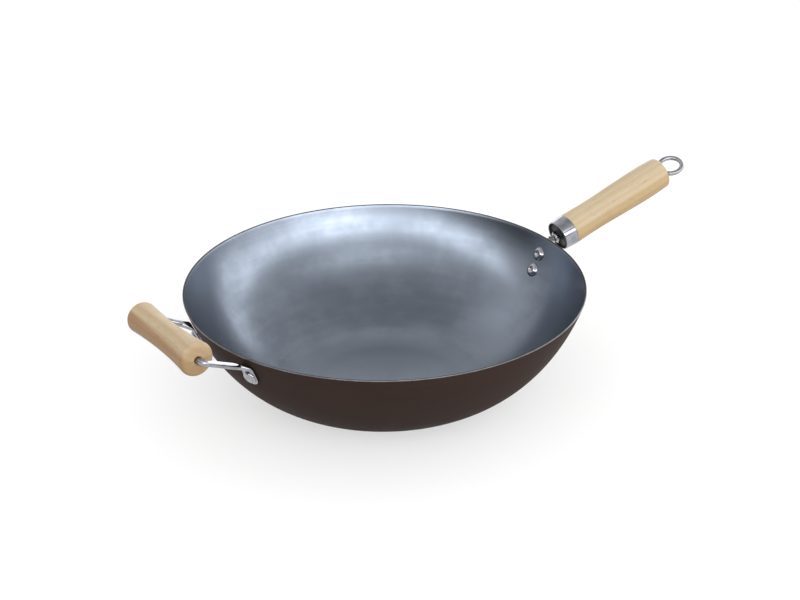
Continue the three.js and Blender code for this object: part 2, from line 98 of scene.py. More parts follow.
class Graph:
    """Places and links the nodes of one tree."""

    def __init__(self, tree: bpy.types.NodeTree) -> None:
        """Start on a tree.

        Args:
            tree: the tree that takes the nodes.
        """
        self.tree = tree

    def node(self, kind: str, inputs: dict[Any, Any] | None = None, **settings: Any) -> bpy.types.Node:
        """Place one node.

        Args:
            kind: Blender's name for the type of node.
            inputs: values or sockets by the name or number of the input.
            settings: properties of the node.

        Returns:
            The node.
        """
        made = self.tree.nodes.new(kind)
        for key, value in settings.items():
            setattr(made, key, value)
        for key, value in (inputs or {}).items():
            self.feed(made.inputs[key], value)
        return made

    def feed(self, socket: Socket, value: Any) -> None:
        """Link or set an input.

        Args:
            socket: the input.
            value: an output to link, or a plain value.
        """
        if isinstance(value, bpy.types.NodeSocket):
            self.tree.links.new(value, socket)
        else:
            socket.default_value = value

    def math(self, operation: str, *values: Any) -> Socket:
        """Return the result of a sum on numbers."""
        return self.node("ShaderNodeMath", dict(enumerate(values)), operation=operation).outputs[0]

    def vector(self, operation: str, *values: Any) -> Socket:
        """Return the vector that a sum on vectors gives."""
        made = self.node("ShaderNodeVectorMath", dict(enumerate(values)), operation=operation)
        return made.outputs["Vector"]

    def scaled(self, vector: Any, factor: Any) -> Socket:
        """Return a vector times a number."""
        inputs = {"Vector": vector, "Scale": factor}
        return self.node("ShaderNodeVectorMath", inputs, operation="SCALE").outputs["Vector"]

    def length(self, vector: Any) -> Socket:
        """Return the length of a vector."""
        return self.node("ShaderNodeVectorMath", {0: vector}, operation="LENGTH").outputs["Value"]

    def dot(self, first: Any, second: Any) -> Socket:
        """Return how far one vector runs along another."""
        made = self.node("ShaderNodeVectorMath", {0: first, 1: second}, operation="DOT_PRODUCT")
        return made.outputs["Value"]

    def weighed(self, first: Any, share: float, second: Any) -> Socket:
        """Return a sum of which the first value makes a share and the second one the rest."""
        return self.math("MULTIPLY_ADD", first, share, self.math("MULTIPLY", second, 1 - share))

    def combine(self, x: Any = 0.0, y: Any = 0.0, z: Any = 0.0) -> Socket:
        """Return a vector made of three numbers."""
        return self.node("ShaderNodeCombineXYZ", {"X": x, "Y": y, "Z": z}).outputs[0]

    def separate(self, vector: Any) -> bpy.types.NodeOutputs:
        """Return the three numbers of a vector, by the names X, Y and Z."""
        return self.node("ShaderNodeSeparateXYZ", {0: vector}).outputs

    def mix_vector(self, share: Any, first: Any, second: Any) -> Socket:
        """Return a point between two vectors."""
        inputs = {0: share, 4: first, 5: second}
        return self.node("ShaderNodeMix", inputs, data_type="VECTOR").outputs[1]

    def mix_colour(self, share: Any, first: Any, second: Any, blend: str = "MIX") -> Socket:
        """Return a blend of two colours."""
        inputs = {0: share, 6: first, 7: second}
        return self.node("ShaderNodeMix", inputs, data_type="RGBA", blend_type=blend).outputs[2]

    def span(self, value: Any, low: float, high: float, to_low: Any = 0.0, to_high: Any = 1.0) -> Socket:
        """Return a value moved from one range to another and kept inside it."""
        inputs = {0: value, 1: low, 2: high, 3: to_low, 4: to_high}
        return self.node("ShaderNodeMapRange", inputs, interpolation_type="SMOOTHSTEP").outputs[0]

    def noise(self, vector: Any, scale: Any, detail: float = 2.0, roughness: float = 0.5) -> Socket:
        """Return a cloudy value from 0 to 1."""
        inputs = {"Vector": vector, "Scale": scale, "Detail": detail, "Roughness": roughness}
        return self.node("ShaderNodeTexNoise", inputs).outputs[0]


class GrowTree(Graph):
    """A Geometry Nodes tree with named inputs for its sizes."""

    def __init__(self, name: str, inputs: dict[str, str]) -> None:
        """Start a tree.

        Args:
            name: the name of the tree.
            inputs: the type of socket of each input, by its name.
        """
        super().__init__(bpy.data.node_groups.new(name, "GeometryNodeTree"))
        self.tree.is_modifier = True
        face = self.tree.interface
        face.new_socket("Geometry", in_out="OUTPUT", socket_type="NodeSocketGeometry")
        face.new_socket("Geometry", in_out="INPUT", socket_type="NodeSocketGeometry")
        for title, kind in inputs.items():
            face.new_socket(title, in_out="INPUT", socket_type=kind)
        self.inlet = self.node("NodeGroupInput").outputs
        self.outlet = self.node("NodeGroupOutput").inputs

    def join(self, parts: Iterable[Socket]) -> Socket:
        """Return several geometries as one."""
        joined = self.node("GeometryNodeJoinGeometry")
        for part in parts:
            self.tree.links.new(part, joined.inputs[0])
        return joined.outputs[0]

    def turned(self, steps: Any, sides: Any, place: Rule) -> Socket:
        """Return a surface of revolution round Z.

        Args:
            steps: faces along the profile.
            sides: faces round the axis.
            place: gives the profile's point, in the XZ plane, for a share of its length.

        Returns:
            The surface's geometry.
        """
        grid = self.node("GeometryNodeMeshGrid", {
            "Size X": 1.0,
            "Size Y": 1.0,
            "Vertices X": self.math("ADD", sides, 1.0),
            "Vertices Y": self.math("ADD", steps, 1.0),
        })
        on_grid = self.separate(self.node("GeometryNodeInputPosition").outputs[0])
        angle = self.math("MULTIPLY", self.math("ADD", on_grid["X"], 0.5), FULL_TURN)
        point = place(self.math("ADD", on_grid["Y"], 0.5))
        turn = {"Vector": point, "Angle": angle}
        round_axis = self.node("ShaderNodeVectorRotate", turn, rotation_type="Z_AXIS")
        return self.node("GeometryNodeSetPosition", {
            "Geometry": grid.outputs["Mesh"],
            "Position": round_axis.outputs[0],
        }).outputs[0]

    def flipped(self, geometry: Socket) -> Socket:
        """Return a mesh with its faces turned round."""
        return self.node("GeometryNodeFlipFaces", {0: geometry}).outputs[0]

    def welded(self, geometry: Socket) -> Socket:
        """Return a smooth mesh whose seams and poles are closed."""
        merged = self.node("GeometryNodeMergeByDistance", {"Geometry": geometry, "Distance": WELD_DISTANCE})
        return self.node("GeometryNodeSetShadeSmooth", {"Geometry": merged.outputs[0]}).outputs[0]

    def finished(self, geometry: Socket, material: Socket, chosen: Any = True) -> Socket:
        """Return real geometry with a material on the chosen faces."""
        real = self.node("GeometryNodeRealizeInstances", {"Geometry": geometry})
        return self.node("GeometryNodeSetMaterial", {
            "Geometry": real.outputs[0],
            "Selection": chosen,
            "Material": material,
        }).outputs[0]


def label(name: str) -> str:
    """Return the name of a field as the name of a tree's input."""
    return name.replace("_", " ").title()


def labelled(owner: Any, names: Iterable[str]) -> dict[str, Any]:
    """Return an owner's sizes by the names of a tree's inputs."""
    return {label(name): getattr(owner, name) for name in names}


def grow(name: str, data: bpy.types.ID, tree: bpy.types.NodeTree, values: dict[str, Any]) -> bpy.types.Object:
    """Run a Geometry Nodes tree and keep its result as a plain mesh.

    Args:
        name: the name of the piece.
        data: the mesh or curve that the tree starts from.
        tree: the tree.
        values: what each of its inputs is set to, by name.

    Returns:
        The piece.
    """
    holder = bpy.data.objects.new(f"{name}_start", data)
    bpy.context.scene.collection.objects.link(holder)
    modifier = holder.modifiers.new(tree.name, "NODES")
    modifier.node_group = tree
    for socket in tree.interface.items_tree:
        if socket.in_out == "INPUT" and socket.name in values:
            modifier[socket.identifier] = values[socket.name]
    graph = bpy.context.evaluated_depsgraph_get()
    mesh = bpy.data.meshes.new_from_object(
        holder.evaluated_get(graph), preserve_all_data_layers=True, depsgraph=graph)
    bpy.data.objects.remove(holder)
    piece = bpy.data.objects.new(name, mesh)
    bpy.context.scene.collection.objects.link(piece)
    return piece


# Meshes

def skin(name: str, rings: Sequence[Ring], material: bpy.types.Material,
         closed: bool = False) -> bpy.types.Object:
    """Cover rings of points, in order, with one closed surface.

    Args:
        name: the name of the piece.
        rings: rings of one length, or of one point where the surface comes to a pole.
        material: the finish.
        closed: True where the last ring joins the first. Otherwise the two end rings are filled.

    Returns:
        The piece.
    """
    shape = bmesh.new()
    corners = [[shape.verts.new(point) for point in ring] for ring in rings]
    pairs = list(pairwise(corners + corners[:1] if closed else corners))
    for one, other in pairs:
        for k in range(max(len(one), len(other))):
            here, there = ([ring[(k + step) % len(ring)] for step in (0, 1)] for ring in (one, other))
            shape.faces.new(list(dict.fromkeys([*here, *reversed(there)])))
    if not closed:
        for end in (corners[0], corners[-1]):
            if len(end) > 2:
                shape.faces.new(end)
    bmesh.ops.recalc_face_normals(shape, faces=shape.faces)
    mesh = bpy.data.meshes.new(name)
    shape.to_mesh(mesh)
    shape.free()
    mesh.materials.append(material)
    mesh.shade_smooth()
    mesh.set_sharp_from_angle(angle=SMOOTH_BELOW)
    piece = bpy.data.objects.new(name, mesh)
    bpy.context.scene.collection.objects.link(piece)
    return piece


def turned_ring(radius: Callable[[float], float] | float, height: float, place: Matrix, sides: int) -> Ring:
    """Make one ring of a turned piece.

    Args:
        radius: the radius, or a rule that gives it for an angle.
        height: distance along the axis, which is the place's own Z.
        place: where the piece stands.
        sides: points in the ring.

    Returns:
        The ring, or a single point on the axis.
    """
    if radius == 0:
        return [place @ Vector((0, 0, height))]
    ring = []
    for k in range(sides):
        angle = k * FULL_TURN / sides
        reach = radius(angle) if callable(radius) else radius
        ring.append(place @ Vector((reach * math.cos(angle), reach * math.sin(angle), height)))
    return ring


def quarter_round(centre: tuple[float, float], radius: float, rise: float, steps: int) -> Profile:
    """Make a rounded edge of a turned piece, from its end face to its side.

    Args:
        centre: radius and height of the round's centre.
        radius: reach of the round away from the axis.
        rise: reach of the round along the axis, with its sign.
        steps: faces over the round.

    Returns:
        Radii and heights.
    """
    quarters = [i * math.pi / 2 / steps for i in range(steps + 1)]
    return [(centre[0] + radius * math.sin(q), centre[1] + rise * math.cos(q)) for q in quarters]


def through(points: Profile, steps: int) -> Profile:
    """Draw a smooth line through points.

    Args:
        points: the points, in order.
        steps: pieces of line between two points.

    Returns:
        The line's points.
    """
    stops = [Vector(point) for point in points]
    line = []
    for i in range(len(stops) - 1):
        start, end = stops[i], stops[i + 1]
        leave = (end - stops[max(i - 1, 0)]) / 2
        arrive = (stops[min(i + 2, len(stops) - 1)] - start) / 2
        for k in range(steps):
            t = k / steps
            point = (
                start * (2 * t**3 - 3 * t**2 + 1)
                + leave * (t**3 - 2 * t**2 + t)
                + end * (3 * t**2 - 2 * t**3)
                + arrive * (t**3 - t**2)
            )
            line.append(tuple(point))
    return line + [tuple(stops[-1])]


@dataclass(frozen=True)
class Stop:
    """One stop on a route.

    Attributes:
        point: where it is.
        along: which way the route runs there.
    """

    point: Vector
    along: Vector

    def outward(self) -> Vector:
        """Return the direction out of the bowl's wall, for a stop in the XZ plane."""
        return Vector((self.along.z, 0, -self.along.x))

    def spun(self, azimuth: float) -> "Stop":
        """Return the stop turned round the bowl's axis."""
        turn = Matrix.Rotation(azimuth, 3, UPRIGHT)
        return Stop(turn @ self.point, turn @ self.along)


def bend(corner: Vector, before: Vector, after: Vector, radius: float, steps: int) -> list[Stop]:
    """Round the corner between two straight runs.

    Args:
        corner: where the runs would meet.
        before: direction of the first run.
        after: direction of the second run.
        radius: radius of the bend.
        steps: pieces of the bend.

    Returns:
        Stops from the end of the first run to the start of the second.
    """
    angle = before.angle(after)
    inward = (after - before * before.dot(after)).normalized()
    start = corner - before * radius * math.tan(angle / 2)
    stops = []
    for i in range(steps + 1):
        turn = angle * i / steps
        point = start + before * radius * math.sin(turn) + inward * radius * (1 - math.cos(turn))
        stops.append(Stop(point, before * math.cos(turn) + inward * math.sin(turn)))
    return stops


def flat_section(stop: Stop, across: Vector, half: tuple[float, float], corner: float, steps: int) -> Ring:
    """Make a rounded rectangle square to a route.

    Args:
        stop: where the section stands.
        across: direction of the section's width.
        half: half of its width and half of its thickness.
        corner: radius of its corners.
        steps: faces round each corner.

    Returns:
        The section's points.
    """
    over = stop.along.cross(across)
    corner = min(corner, *half)
    ring = []
    for quarter, (side, lift) in enumerate(((1, 1), (-1, 1), (-1, -1), (1, -1))):
        for i in range(steps + 1):
            angle = (quarter + i / steps) * math.pi / 2
            x = side * (half[0] - corner) + corner * math.cos(angle)
            y = lift * (half[1] - corner) + corner * math.sin(angle)
            ring.append(stop.point + across * x + over * y)
    return ring


def mixed(first: float, second: float, share: float) -> float:
    """Return a number between two others."""
    return first + (second - first) * share


def eased(share: float) -> float:
    """Return a share from 0 to 1 that starts and ends gently."""
    kept = min(max(share, 0.0), 1.0)
    return kept * kept * (3 - 2 * kept)


# Shader effects that several finishes share

class Effect:
    """A shader effect that is built once, as a node group, and placed in each material that uses it."""

    NAME: ClassVar[str] = ""
    INPUTS: ClassVar[dict[str, str]] = {}
    OUTPUTS: ClassVar[tuple[str, ...]] = ()

    @classmethod
    def group(cls) -> bpy.types.NodeTree:
        """Return the effect's node group, building it the first time."""
        found = bpy.data.node_groups.get(cls.NAME)
        if found:
            return found
        tree = bpy.data.node_groups.new(cls.NAME, "ShaderNodeTree")
        for name, kind in cls.INPUTS.items():
            tree.interface.new_socket(name, in_out="INPUT", socket_type=kind)
        for name in cls.OUTPUTS:
            tree.interface.new_socket(name, in_out="OUTPUT", socket_type="NodeSocketFloat")
        graph = Graph(tree)
        made = cls.build(graph, graph.node("NodeGroupInput").outputs)
        graph.node("NodeGroupOutput", made)
        return tree

    @classmethod
    def build(cls, graph: Graph, inlet: bpy.types.NodeOutputs) -> dict[str, Socket]:
        """Make the nodes of the effect.

        Args:
            graph: the group's tree.
            inlet: the group's inputs.

        Returns:
            What each output of the group takes.
        """
        raise NotImplementedError

    @classmethod
    def place(cls, graph: Graph, **inputs: Any) -> bpy.types.NodeOutputs:
        """Place the effect in a material.

        Args:
            graph: the material's tree.
            inputs: values or sockets, by input name with _ for a space.

        Returns:
            The effect's outputs.
        """
        made = graph.node("ShaderNodeGroup", node_tree=cls.group())
        for name, value in inputs.items():
            graph.feed(made.inputs[name.replace("_", " ")], value)
        return made.outputs


class SpunLines(Effect):
    """Fine lines round the Z axis, as a turning or polishing tool leaves them."""

    NAME = "spun_lines"
    INPUTS = {"Vector": "NodeSocketVector", "Spacing": "NodeSocketFloat"}
    OUTPUTS = ("Lines", "Bands", "Radius")
    ARC = 1.4
    BAND_WIDTH = 9.0
    LINE_DETAIL = (5.0, 0.75)
    BAND_DETAIL = (2.0, 0.55)

    @classmethod
    def build(cls, graph: Graph, inlet: bpy.types.NodeOutputs) -> dict[str, Socket]:
        """Make lines that run round the axis, with wider bands among them."""
        place = graph.separate(inlet["Vector"])
        flat = graph.combine(place["X"], place["Y"], 0.0)
        heading = graph.scaled(graph.vector("NORMALIZE", flat), cls.ARC)
        radius = graph.length(flat)
        run = graph.math("DIVIDE", graph.math("ADD", radius, place["Z"]), inlet["Spacing"])
        fine = graph.vector("ADD", heading, graph.combine(z=run))
        wide = graph.vector("ADD", heading, graph.combine(z=graph.math("DIVIDE", run, cls.BAND_WIDTH)))
        return {
            "Lines": graph.noise(fine, 1.0, *cls.LINE_DETAIL),
            "Bands": graph.noise(wide, 1.0, *cls.BAND_DETAIL),
            "Radius": radius,
        }


class Handling(Effect):
    """Smudges from hands and cloths over fine grit."""

    NAME = "handling"
    INPUTS = {"Vector": "NodeSocketVector", "Smudge Size": "NodeSocketFloat"}
    OUTPUTS = ("Smudge", "Grit")
    GRIT_SIZE = 0.0007
    GRIT_DETAIL = (2.0, 0.6)
    SMUDGE_DETAIL = (4.0, 0.6)
    SMUDGE_RANGE = (0.3, 0.7)

    @classmethod
    def build(cls, graph: Graph, inlet: bpy.types.NodeOutputs) -> dict[str, Socket]:
        """Make broad soft patches and a fine grain."""
        density = graph.math("DIVIDE", 1.0, inlet["Smudge Size"])
        cloud = graph.noise(inlet["Vector"], density, *cls.SMUDGE_DETAIL)
        return {
            "Smudge": graph.span(cloud, *cls.SMUDGE_RANGE),
            "Grit": graph.noise(inlet["Vector"], 1 / cls.GRIT_SIZE, *cls.GRIT_DETAIL),
        }


class WoodGrain(Effect):
    """Solid wood with its grain along the Z axis, so that the ends show the year rings."""

    NAME = "wood_grain"
    INPUTS = {
        "Vector": "NodeSocketVector",
        "Ring Width": "NodeSocketFloat",
        "Pith": "NodeSocketVector",
        "Heart Side": "NodeSocketVector",
        "Heart From": "NodeSocketFloat",
        "Check Across": "NodeSocketVector",
    }
    OUTPUTS = ("Rings", "Flecks", "Pores", "Heart", "Check")
    ALONG = 0.09
    SWAY = 0.0016
    SWAY_DENSITY = 95.0
    SWAY_DETAIL = 3.0
    LATE_WOOD = (0.25, 0.9)
    YEAR_END = (0.93, 1.0)
    FLECK_DENSITY = 1500.0
    FLECK_RANGE = (0.6, 0.72)
    PORE_DENSITY = 3600.0
    PORE_DETAIL = (2.0, 0.7)
    CHECK_WIDTH = 0.0005
    PAINTED_SHADE_FADE = 0.0024

    @classmethod
    def build(cls, graph: Graph, inlet: bpy.types.NodeOutputs) -> dict[str, Socket]:
        """Make swaying year rings, flecks, pores, a side marked for painted shade and one thin drying check.
        """
        drawn = graph.vector("MULTIPLY", inlet["Vector"], (1.0, 1.0, cls.ALONG))
        cloud = {"Vector": drawn, "Scale": cls.SWAY_DENSITY, "Detail": cls.SWAY_DETAIL}
        sway = graph.node("ShaderNodeTexNoise", cloud).outputs[1]
        moved = graph.scaled(graph.vector("SUBTRACT", sway, (0.5, 0.5, 0.5)), cls.SWAY * 2)
        from_pith = graph.vector("ADD", graph.vector("SUBTRACT", inlet["Vector"], inlet["Pith"]), moved)
        across = graph.vector("MULTIPLY", from_pith, (1.0, 1.0, 0.0))
        years = graph.math("DIVIDE", graph.length(across), inlet["Ring Width"])
        season = graph.math("FRACT", years)
        swayed = graph.vector("ADD", inlet["Vector"], moved)
        split = graph.dot(swayed, inlet["Check Across"])
        # Painted shade: one side of the piece, past a distance from the axis, is marked for darkening where
        # shade falls.
        painted_shade = graph.math("SUBTRACT", graph.dot(swayed, inlet["Heart Side"]), inlet["Heart From"])
        year_end = graph.span(season, *cls.YEAR_END, 1.0, 0.0)
        return {
            "Rings": graph.math("MULTIPLY", graph.span(season, *cls.LATE_WOOD), year_end),
            "Flecks": graph.span(graph.noise(drawn, cls.FLECK_DENSITY, 1.0), *cls.FLECK_RANGE),
            "Pores": graph.noise(drawn, cls.PORE_DENSITY, *cls.PORE_DETAIL),
            "Heart": graph.span(painted_shade, -cls.PAINTED_SHADE_FADE, cls.PAINTED_SHADE_FADE),
            "Check": graph.span(graph.math("ABSOLUTE", split), 0.0, cls.CHECK_WIDTH, 1.0, 0.0),
        }


# Finishes

def new_finish(name: str) -> tuple[bpy.types.Material, Graph, bpy.types.Node, Socket]:
    """Start a material.

    Args:
        name: the finish.

    Returns:
        The material, its tree, its shader and its Object coordinates.
    """
    material = bpy.data.materials.new(name)
    material.use_nodes = True
    material.node_tree.nodes.clear()
    graph = Graph(material.node_tree)
    shader = graph.node("ShaderNodeBsdfPrincipled")
    graph.node("ShaderNodeOutputMaterial", {"Surface": shader.outputs[0]})
    place = graph.node("ShaderNodeTexCoord").outputs["Object"]
    return material, graph, shader, place


def bumped(graph: Graph, height: Socket, strength: float, depth: float) -> Socket:
    """Return a normal that follows a height, with a strength and a depth in metres."""
    inputs = {"Height": height, "Strength": strength, "Distance": depth}
    return graph.node("ShaderNodeBump", inputs).outputs["Normal"]


@dataclass(frozen=True)
class SpunSteel:
    """Bare steel with the fine round lines of spinning and polishing.

    Attributes:
        name: the finish.
        pale: colour of the polished bands.
        deep: colour of the duller bands.
        line_spacing: distance between the lines.
        smudge_size: size of the dull patches.
        roughness: least and greatest roughness.
        stretch: how far a highlight is drawn out across the lines.
        line_depth: depth of the lines.
        flat_radius: radius of a middle that is left duller, or 0 for none.
        flat_fade: where the dull middle has faded out, in times that radius.
        flat_roughness: roughness that the middle has besides.
        flat_colour: colour of the middle where it is scuffed.
        flat_paleness: how far the middle goes to that colour.
    """

    name: str
    pale: Colour
    deep: Colour
    line_spacing: float
    smudge_size: float
    roughness: tuple[float, float]
    stretch: float
    line_depth: float
    flat_radius: float = 0.0
    flat_fade: float = 1.6
    flat_roughness: float = 0.0
    flat_colour: Colour = (0.4, 0.44, 0.5, 1)
    flat_paleness: float = 0.0
    BAND_SHARE: ClassVar[float] = 0.7
    SMUDGE_SHARE: ClassVar[float] = 0.5
    COLOUR_RANGE: ClassVar[tuple[float, float]] = (0.2, 0.8)
    POLISH_RANGE: ClassVar[tuple[float, float]] = (0.15, 0.85)
    LINE_STRENGTH: ClassVar[float] = 0.35

    def material(self) -> bpy.types.Material:
        """Return the material."""
        material, graph, shader, place = new_finish(self.name)
        spun = SpunLines.place(graph, Vector=place, Spacing=self.line_spacing)
        hands = Handling.place(graph, Vector=place, Smudge_Size=self.smudge_size)
        tone = graph.weighed(spun["Bands"], self.BAND_SHARE, spun["Lines"])
        patchy = graph.weighed(hands["Smudge"], self.SMUDGE_SHARE, tone)
        colour = graph.mix_colour(graph.span(patchy, *self.COLOUR_RANGE), self.deep, self.pale)
        polish = graph.span(patchy, *self.POLISH_RANGE, *reversed(self.roughness))
        if self.flat_radius:
            faded = self.flat_radius * self.flat_fade
            on_flat = graph.span(spun["Radius"], self.flat_radius, faded, 1.0, 0.0)
            scuffed = graph.math("MULTIPLY", on_flat, self.flat_paleness)
            colour = graph.mix_colour(scuffed, colour, self.flat_colour)
            polish = graph.math("MULTIPLY_ADD", on_flat, self.flat_roughness, polish)
        graph.feed(shader.inputs["Base Color"], colour)
        graph.feed(shader.inputs["Metallic"], 1.0)
        graph.feed(shader.inputs["Roughness"], polish)
        graph.feed(shader.inputs["Anisotropic"], self.stretch)
        graph.feed(shader.inputs["Normal"], bumped(graph, spun["Lines"], self.LINE_STRENGTH, self.line_depth))
        if self.stretch:
            tangent = graph.node("ShaderNodeTangent", direction_type="RADIAL", axis="Z")
            graph.feed(shader.inputs["Tangent"], tangent.outputs[0])
        return material


@dataclass(frozen=True)
class BakedOxide:
    """Dark brown baked coat on spun steel, rubbed a little paler in patches.

    Attributes:
        name: the finish.
        deep: colour of the coat.
        rubbed: colour where hands and cloths have rubbed it.
        roughness: least and greatest roughness.
        line_spacing: distance between the lines of the steel below.
    """

    name: str
    deep: Colour
    rubbed: Colour
    roughness: tuple[float, float]
    line_spacing: float
    SMUDGE_SIZE: ClassVar[float] = 0.05
    BAND_SHARE: ClassVar[float] = 0.4
    GRIT_SHARE: ClassVar[float] = 0.6
    SHEEN: ClassVar[float] = 0.04
    RELIEF_STRENGTH: ClassVar[float] = 0.3
    RELIEF_DEPTH: ClassVar[float] = 0.00012

    def material(self) -> bpy.types.Material:
        """Return the material."""
        material, graph, shader, place = new_finish(self.name)
        spun = SpunLines.place(graph, Vector=place, Spacing=self.line_spacing)
        hands = Handling.place(graph, Vector=place, Smudge_Size=self.SMUDGE_SIZE)
        worn = graph.weighed(spun["Bands"], self.BAND_SHARE, hands["Smudge"])
        graph.feed(shader.inputs["Base Color"], graph.mix_colour(worn, self.deep, self.rubbed))
        graph.feed(shader.inputs["Roughness"], graph.span(hands["Smudge"], 0.0, 1.0, *self.roughness))
        graph.feed(shader.inputs["Specular IOR Level"], self.SHEEN)
        rough = graph.weighed(hands["Grit"], self.GRIT_SHARE, spun["Lines"])
        graph.feed(shader.inputs["Normal"], bumped(graph, rough, self.RELIEF_STRENGTH, self.RELIEF_DEPTH))
        return material


@dataclass(frozen=True)
class PlatedMetal:
    """Plated or plain metal with wiped smudges and fine scratches.

    Attributes:
        name: the finish.
        clean: colour where it is clean.
        dull: colour where it is dull.
        roughness: least and greatest roughness.
        smudge_size: size of the smudges.
        grit_depth: depth of the fine scratches.
    """

    name: str
    clean: Colour
    dull: Colour
    roughness: tuple[float, float]
    smudge_size: float
    grit_depth: float
    GRIT_STRENGTH: ClassVar[float] = 0.25

    def material(self) -> bpy.types.Material:
        """Return the material."""
        material, graph, shader, place = new_finish(self.name)
        hands = Handling.place(graph, Vector=place, Smudge_Size=self.smudge_size)
        graph.feed(shader.inputs["Base Color"], graph.mix_colour(hands["Smudge"], self.clean, self.dull))
        graph.feed(shader.inputs["Metallic"], 1.0)
        graph.feed(shader.inputs["Roughness"], graph.span(hands["Smudge"], 0.0, 1.0, *self.roughness))
        graph.feed(shader.inputs["Normal"], bumped(graph, hands["Grit"], self.GRIT_STRENGTH, self.grit_depth))
        return material


@dataclass(frozen=True)
class Billet:
    """The piece of beech that a grip is turned from: its colours, how it was cut, and the side that carries
    painted shade.

    Attributes:
        pale: colour of the spring wood.
        dark: colour of the late wood.
        fleck: colour of the short flecks.
        painted_shade: tint multiplied in on the shaded side, as painted shade.
        pith: middle of the year rings, in the place of the turned piece.
        ring_width: width of one year.
        heart_side: the side of the piece that is darkened as painted shade, in that place.
        heart_from: distance from the axis where the painted shade starts.
        check_across: direction across the drying check.
    """

    pale: Colour
    dark: Colour
    fleck: Colour
    painted_shade: Colour
    pith: Place
    ring_width: float
    heart_side: Place
    heart_from: float
    check_across: Place


@dataclass(frozen=True)
class TurnedBeech:
    """Sanded, lightly oiled beech.

    Attributes:
        name: the finish.
        billet: the wood.
        place: the piece's place, whose own Z is the grain.
        ends: where the piece starts and stops along the grain.
        end_depth: how far its end grain has darkened.
    """

    name: str
    billet: Billet
    place: Matrix
    ends: tuple[float, float]
    end_depth: float = 0.0035
    SMUDGE_SIZE: ClassVar[float] = 0.03
    RING_SHARE: ClassVar[float] = 0.45
    PORE_RANGE: ClassVar[tuple[float, float]] = (0.35, 0.75)
    PORE_SHARE: ClassVar[float] = 0.4
    FLECK_SHARE: ClassVar[float] = 0.45
    END_SHARE: ClassVar[float] = 0.6
    SOIL_SHARE: ClassVar[float] = 0.12
    ROUGHNESS: ClassVar[tuple[float, float]] = (0.42, 0.56)
    SHEEN: ClassVar[float] = 0.4
    RING_RELIEF: ClassVar[float] = 0.4
    PORE_RELIEF: ClassVar[float] = -0.6
    RELIEF_STRENGTH: ClassVar[float] = 0.25
    RELIEF_DEPTH: ClassVar[float] = 0.00012

    def material(self) -> bpy.types.Material:
        """Return the material."""
        material, graph, shader, place = new_finish(self.name)
        wood = self.billet
        centred = graph.vector("SUBTRACT", place, tuple(self.place.translation))
        turned = self.place.to_3x3().transposed().to_euler()
        along_grain = graph.node("ShaderNodeMapping", {"Vector": centred, "Rotation": turned}).outputs[0]
        cut = ("ring_width", "pith", "heart_side", "heart_from", "check_across")
        grain = WoodGrain.place(graph, Vector=along_grain, **labelled(wood, cut))
        hands = Handling.place(graph, Vector=place, Smudge_Size=self.SMUDGE_SIZE)

        def tinted(mask: Socket, share: Any, under: Any, tint: Colour) -> Socket:
            """Return a colour that goes to a tint by a share where a mask is 1."""
            return graph.mix_colour(graph.math("MULTIPLY", mask, share), under, tint)

        ringed = tinted(grain["Rings"], self.RING_SHARE, wood.pale, wood.dark)
        pores = graph.span(grain["Pores"], *self.PORE_RANGE, 0.0, self.PORE_SHARE)
        pored = graph.mix_colour(pores, ringed, wood.dark)
        flecked = tinted(grain["Flecks"], self.FLECK_SHARE, pored, wood.fleck)
        run = graph.separate(along_grain)["Z"]
        start, stop = self.ends
        at_start = graph.span(run, start, start + self.end_depth, 1.0, 0.0)
        at_end = graph.math("MAXIMUM", at_start, graph.span(run, stop - self.end_depth, stop))
        # Painted shade: the lower side of the piece is tinted darker and warmer, standing in for shade.
        shade_painted = graph.mix_colour(grain["Heart"], flecked, wood.painted_shade, "MULTIPLY")
        ended = tinted(at_end, self.END_SHARE, shade_painted, wood.dark)
        checked = tinted(at_end, grain["Check"], ended, wood.fleck)
        graph.feed(shader.inputs["Base Color"], tinted(hands["Smudge"], self.SOIL_SHARE, checked, wood.dark))
        graph.feed(shader.inputs["Roughness"], graph.span(hands["Smudge"], 0.0, 1.0, *self.ROUGHNESS))
        graph.feed(shader.inputs["Specular IOR Level"], self.SHEEN)
        sunk = graph.math("MULTIPLY", grain["Pores"], self.PORE_RELIEF)
        raised = graph.math("MULTIPLY_ADD", grain["Rings"], self.RING_RELIEF, sunk)
        graph.feed(shader.inputs["Normal"], bumped(graph, raised, self.RELIEF_STRENGTH, self.RELIEF_DEPTH))
        return material


SATIN_STEEL = SpunSteel(
    name="satin_spun_steel",
    pale=(0.206, 0.236, 0.283, 1),
    deep=(0.156, 0.18, 0.219, 1),
    line_spacing=0.0011,
    smudge_size=0.07,
    roughness=(0.215, 0.265),
    stretch=0.25,
    line_depth=0.00004,
    flat_radius=0.066,
    flat_roughness=0.26,
    flat_paleness=0.6,
)
BRIGHT_EDGE = SpunSteel(
    name="bright_cut_edge",
    pale=(0.2, 0.205, 0.22, 1),
    deep=(0.12, 0.125, 0.135, 1),
    line_spacing=0.0004,
    smudge_size=0.02,
    roughness=(0.22, 0.36),
    stretch=0.0,
    line_depth=0.00003,
)
BROWN_OXIDE = BakedOxide(
    name="brown_oxide",
    deep=(0.0336, 0.021, 0.0179, 1),
    rubbed=(0.0478, 0.0307, 0.0254, 1),
    roughness=(0.58, 0.68),
    line_spacing=0.0016,
)
CHROME = PlatedMetal(
    name="chrome_plate",
    clean=(0.4, 0.405, 0.435, 1),
    dull=(0.29, 0.295, 0.325, 1),
    roughness=(0.04, 0.11),
    smudge_size=0.006,
    grit_depth=0.000004,
)
DRAWN_STEEL = PlatedMetal(
    name="drawn_steel",
    clean=(0.56, 0.565, 0.585, 1),
    dull=(0.33, 0.335, 0.35, 1),
    roughness=(0.1, 0.24),
    smudge_size=0.008,
    grit_depth=0.000012,
)
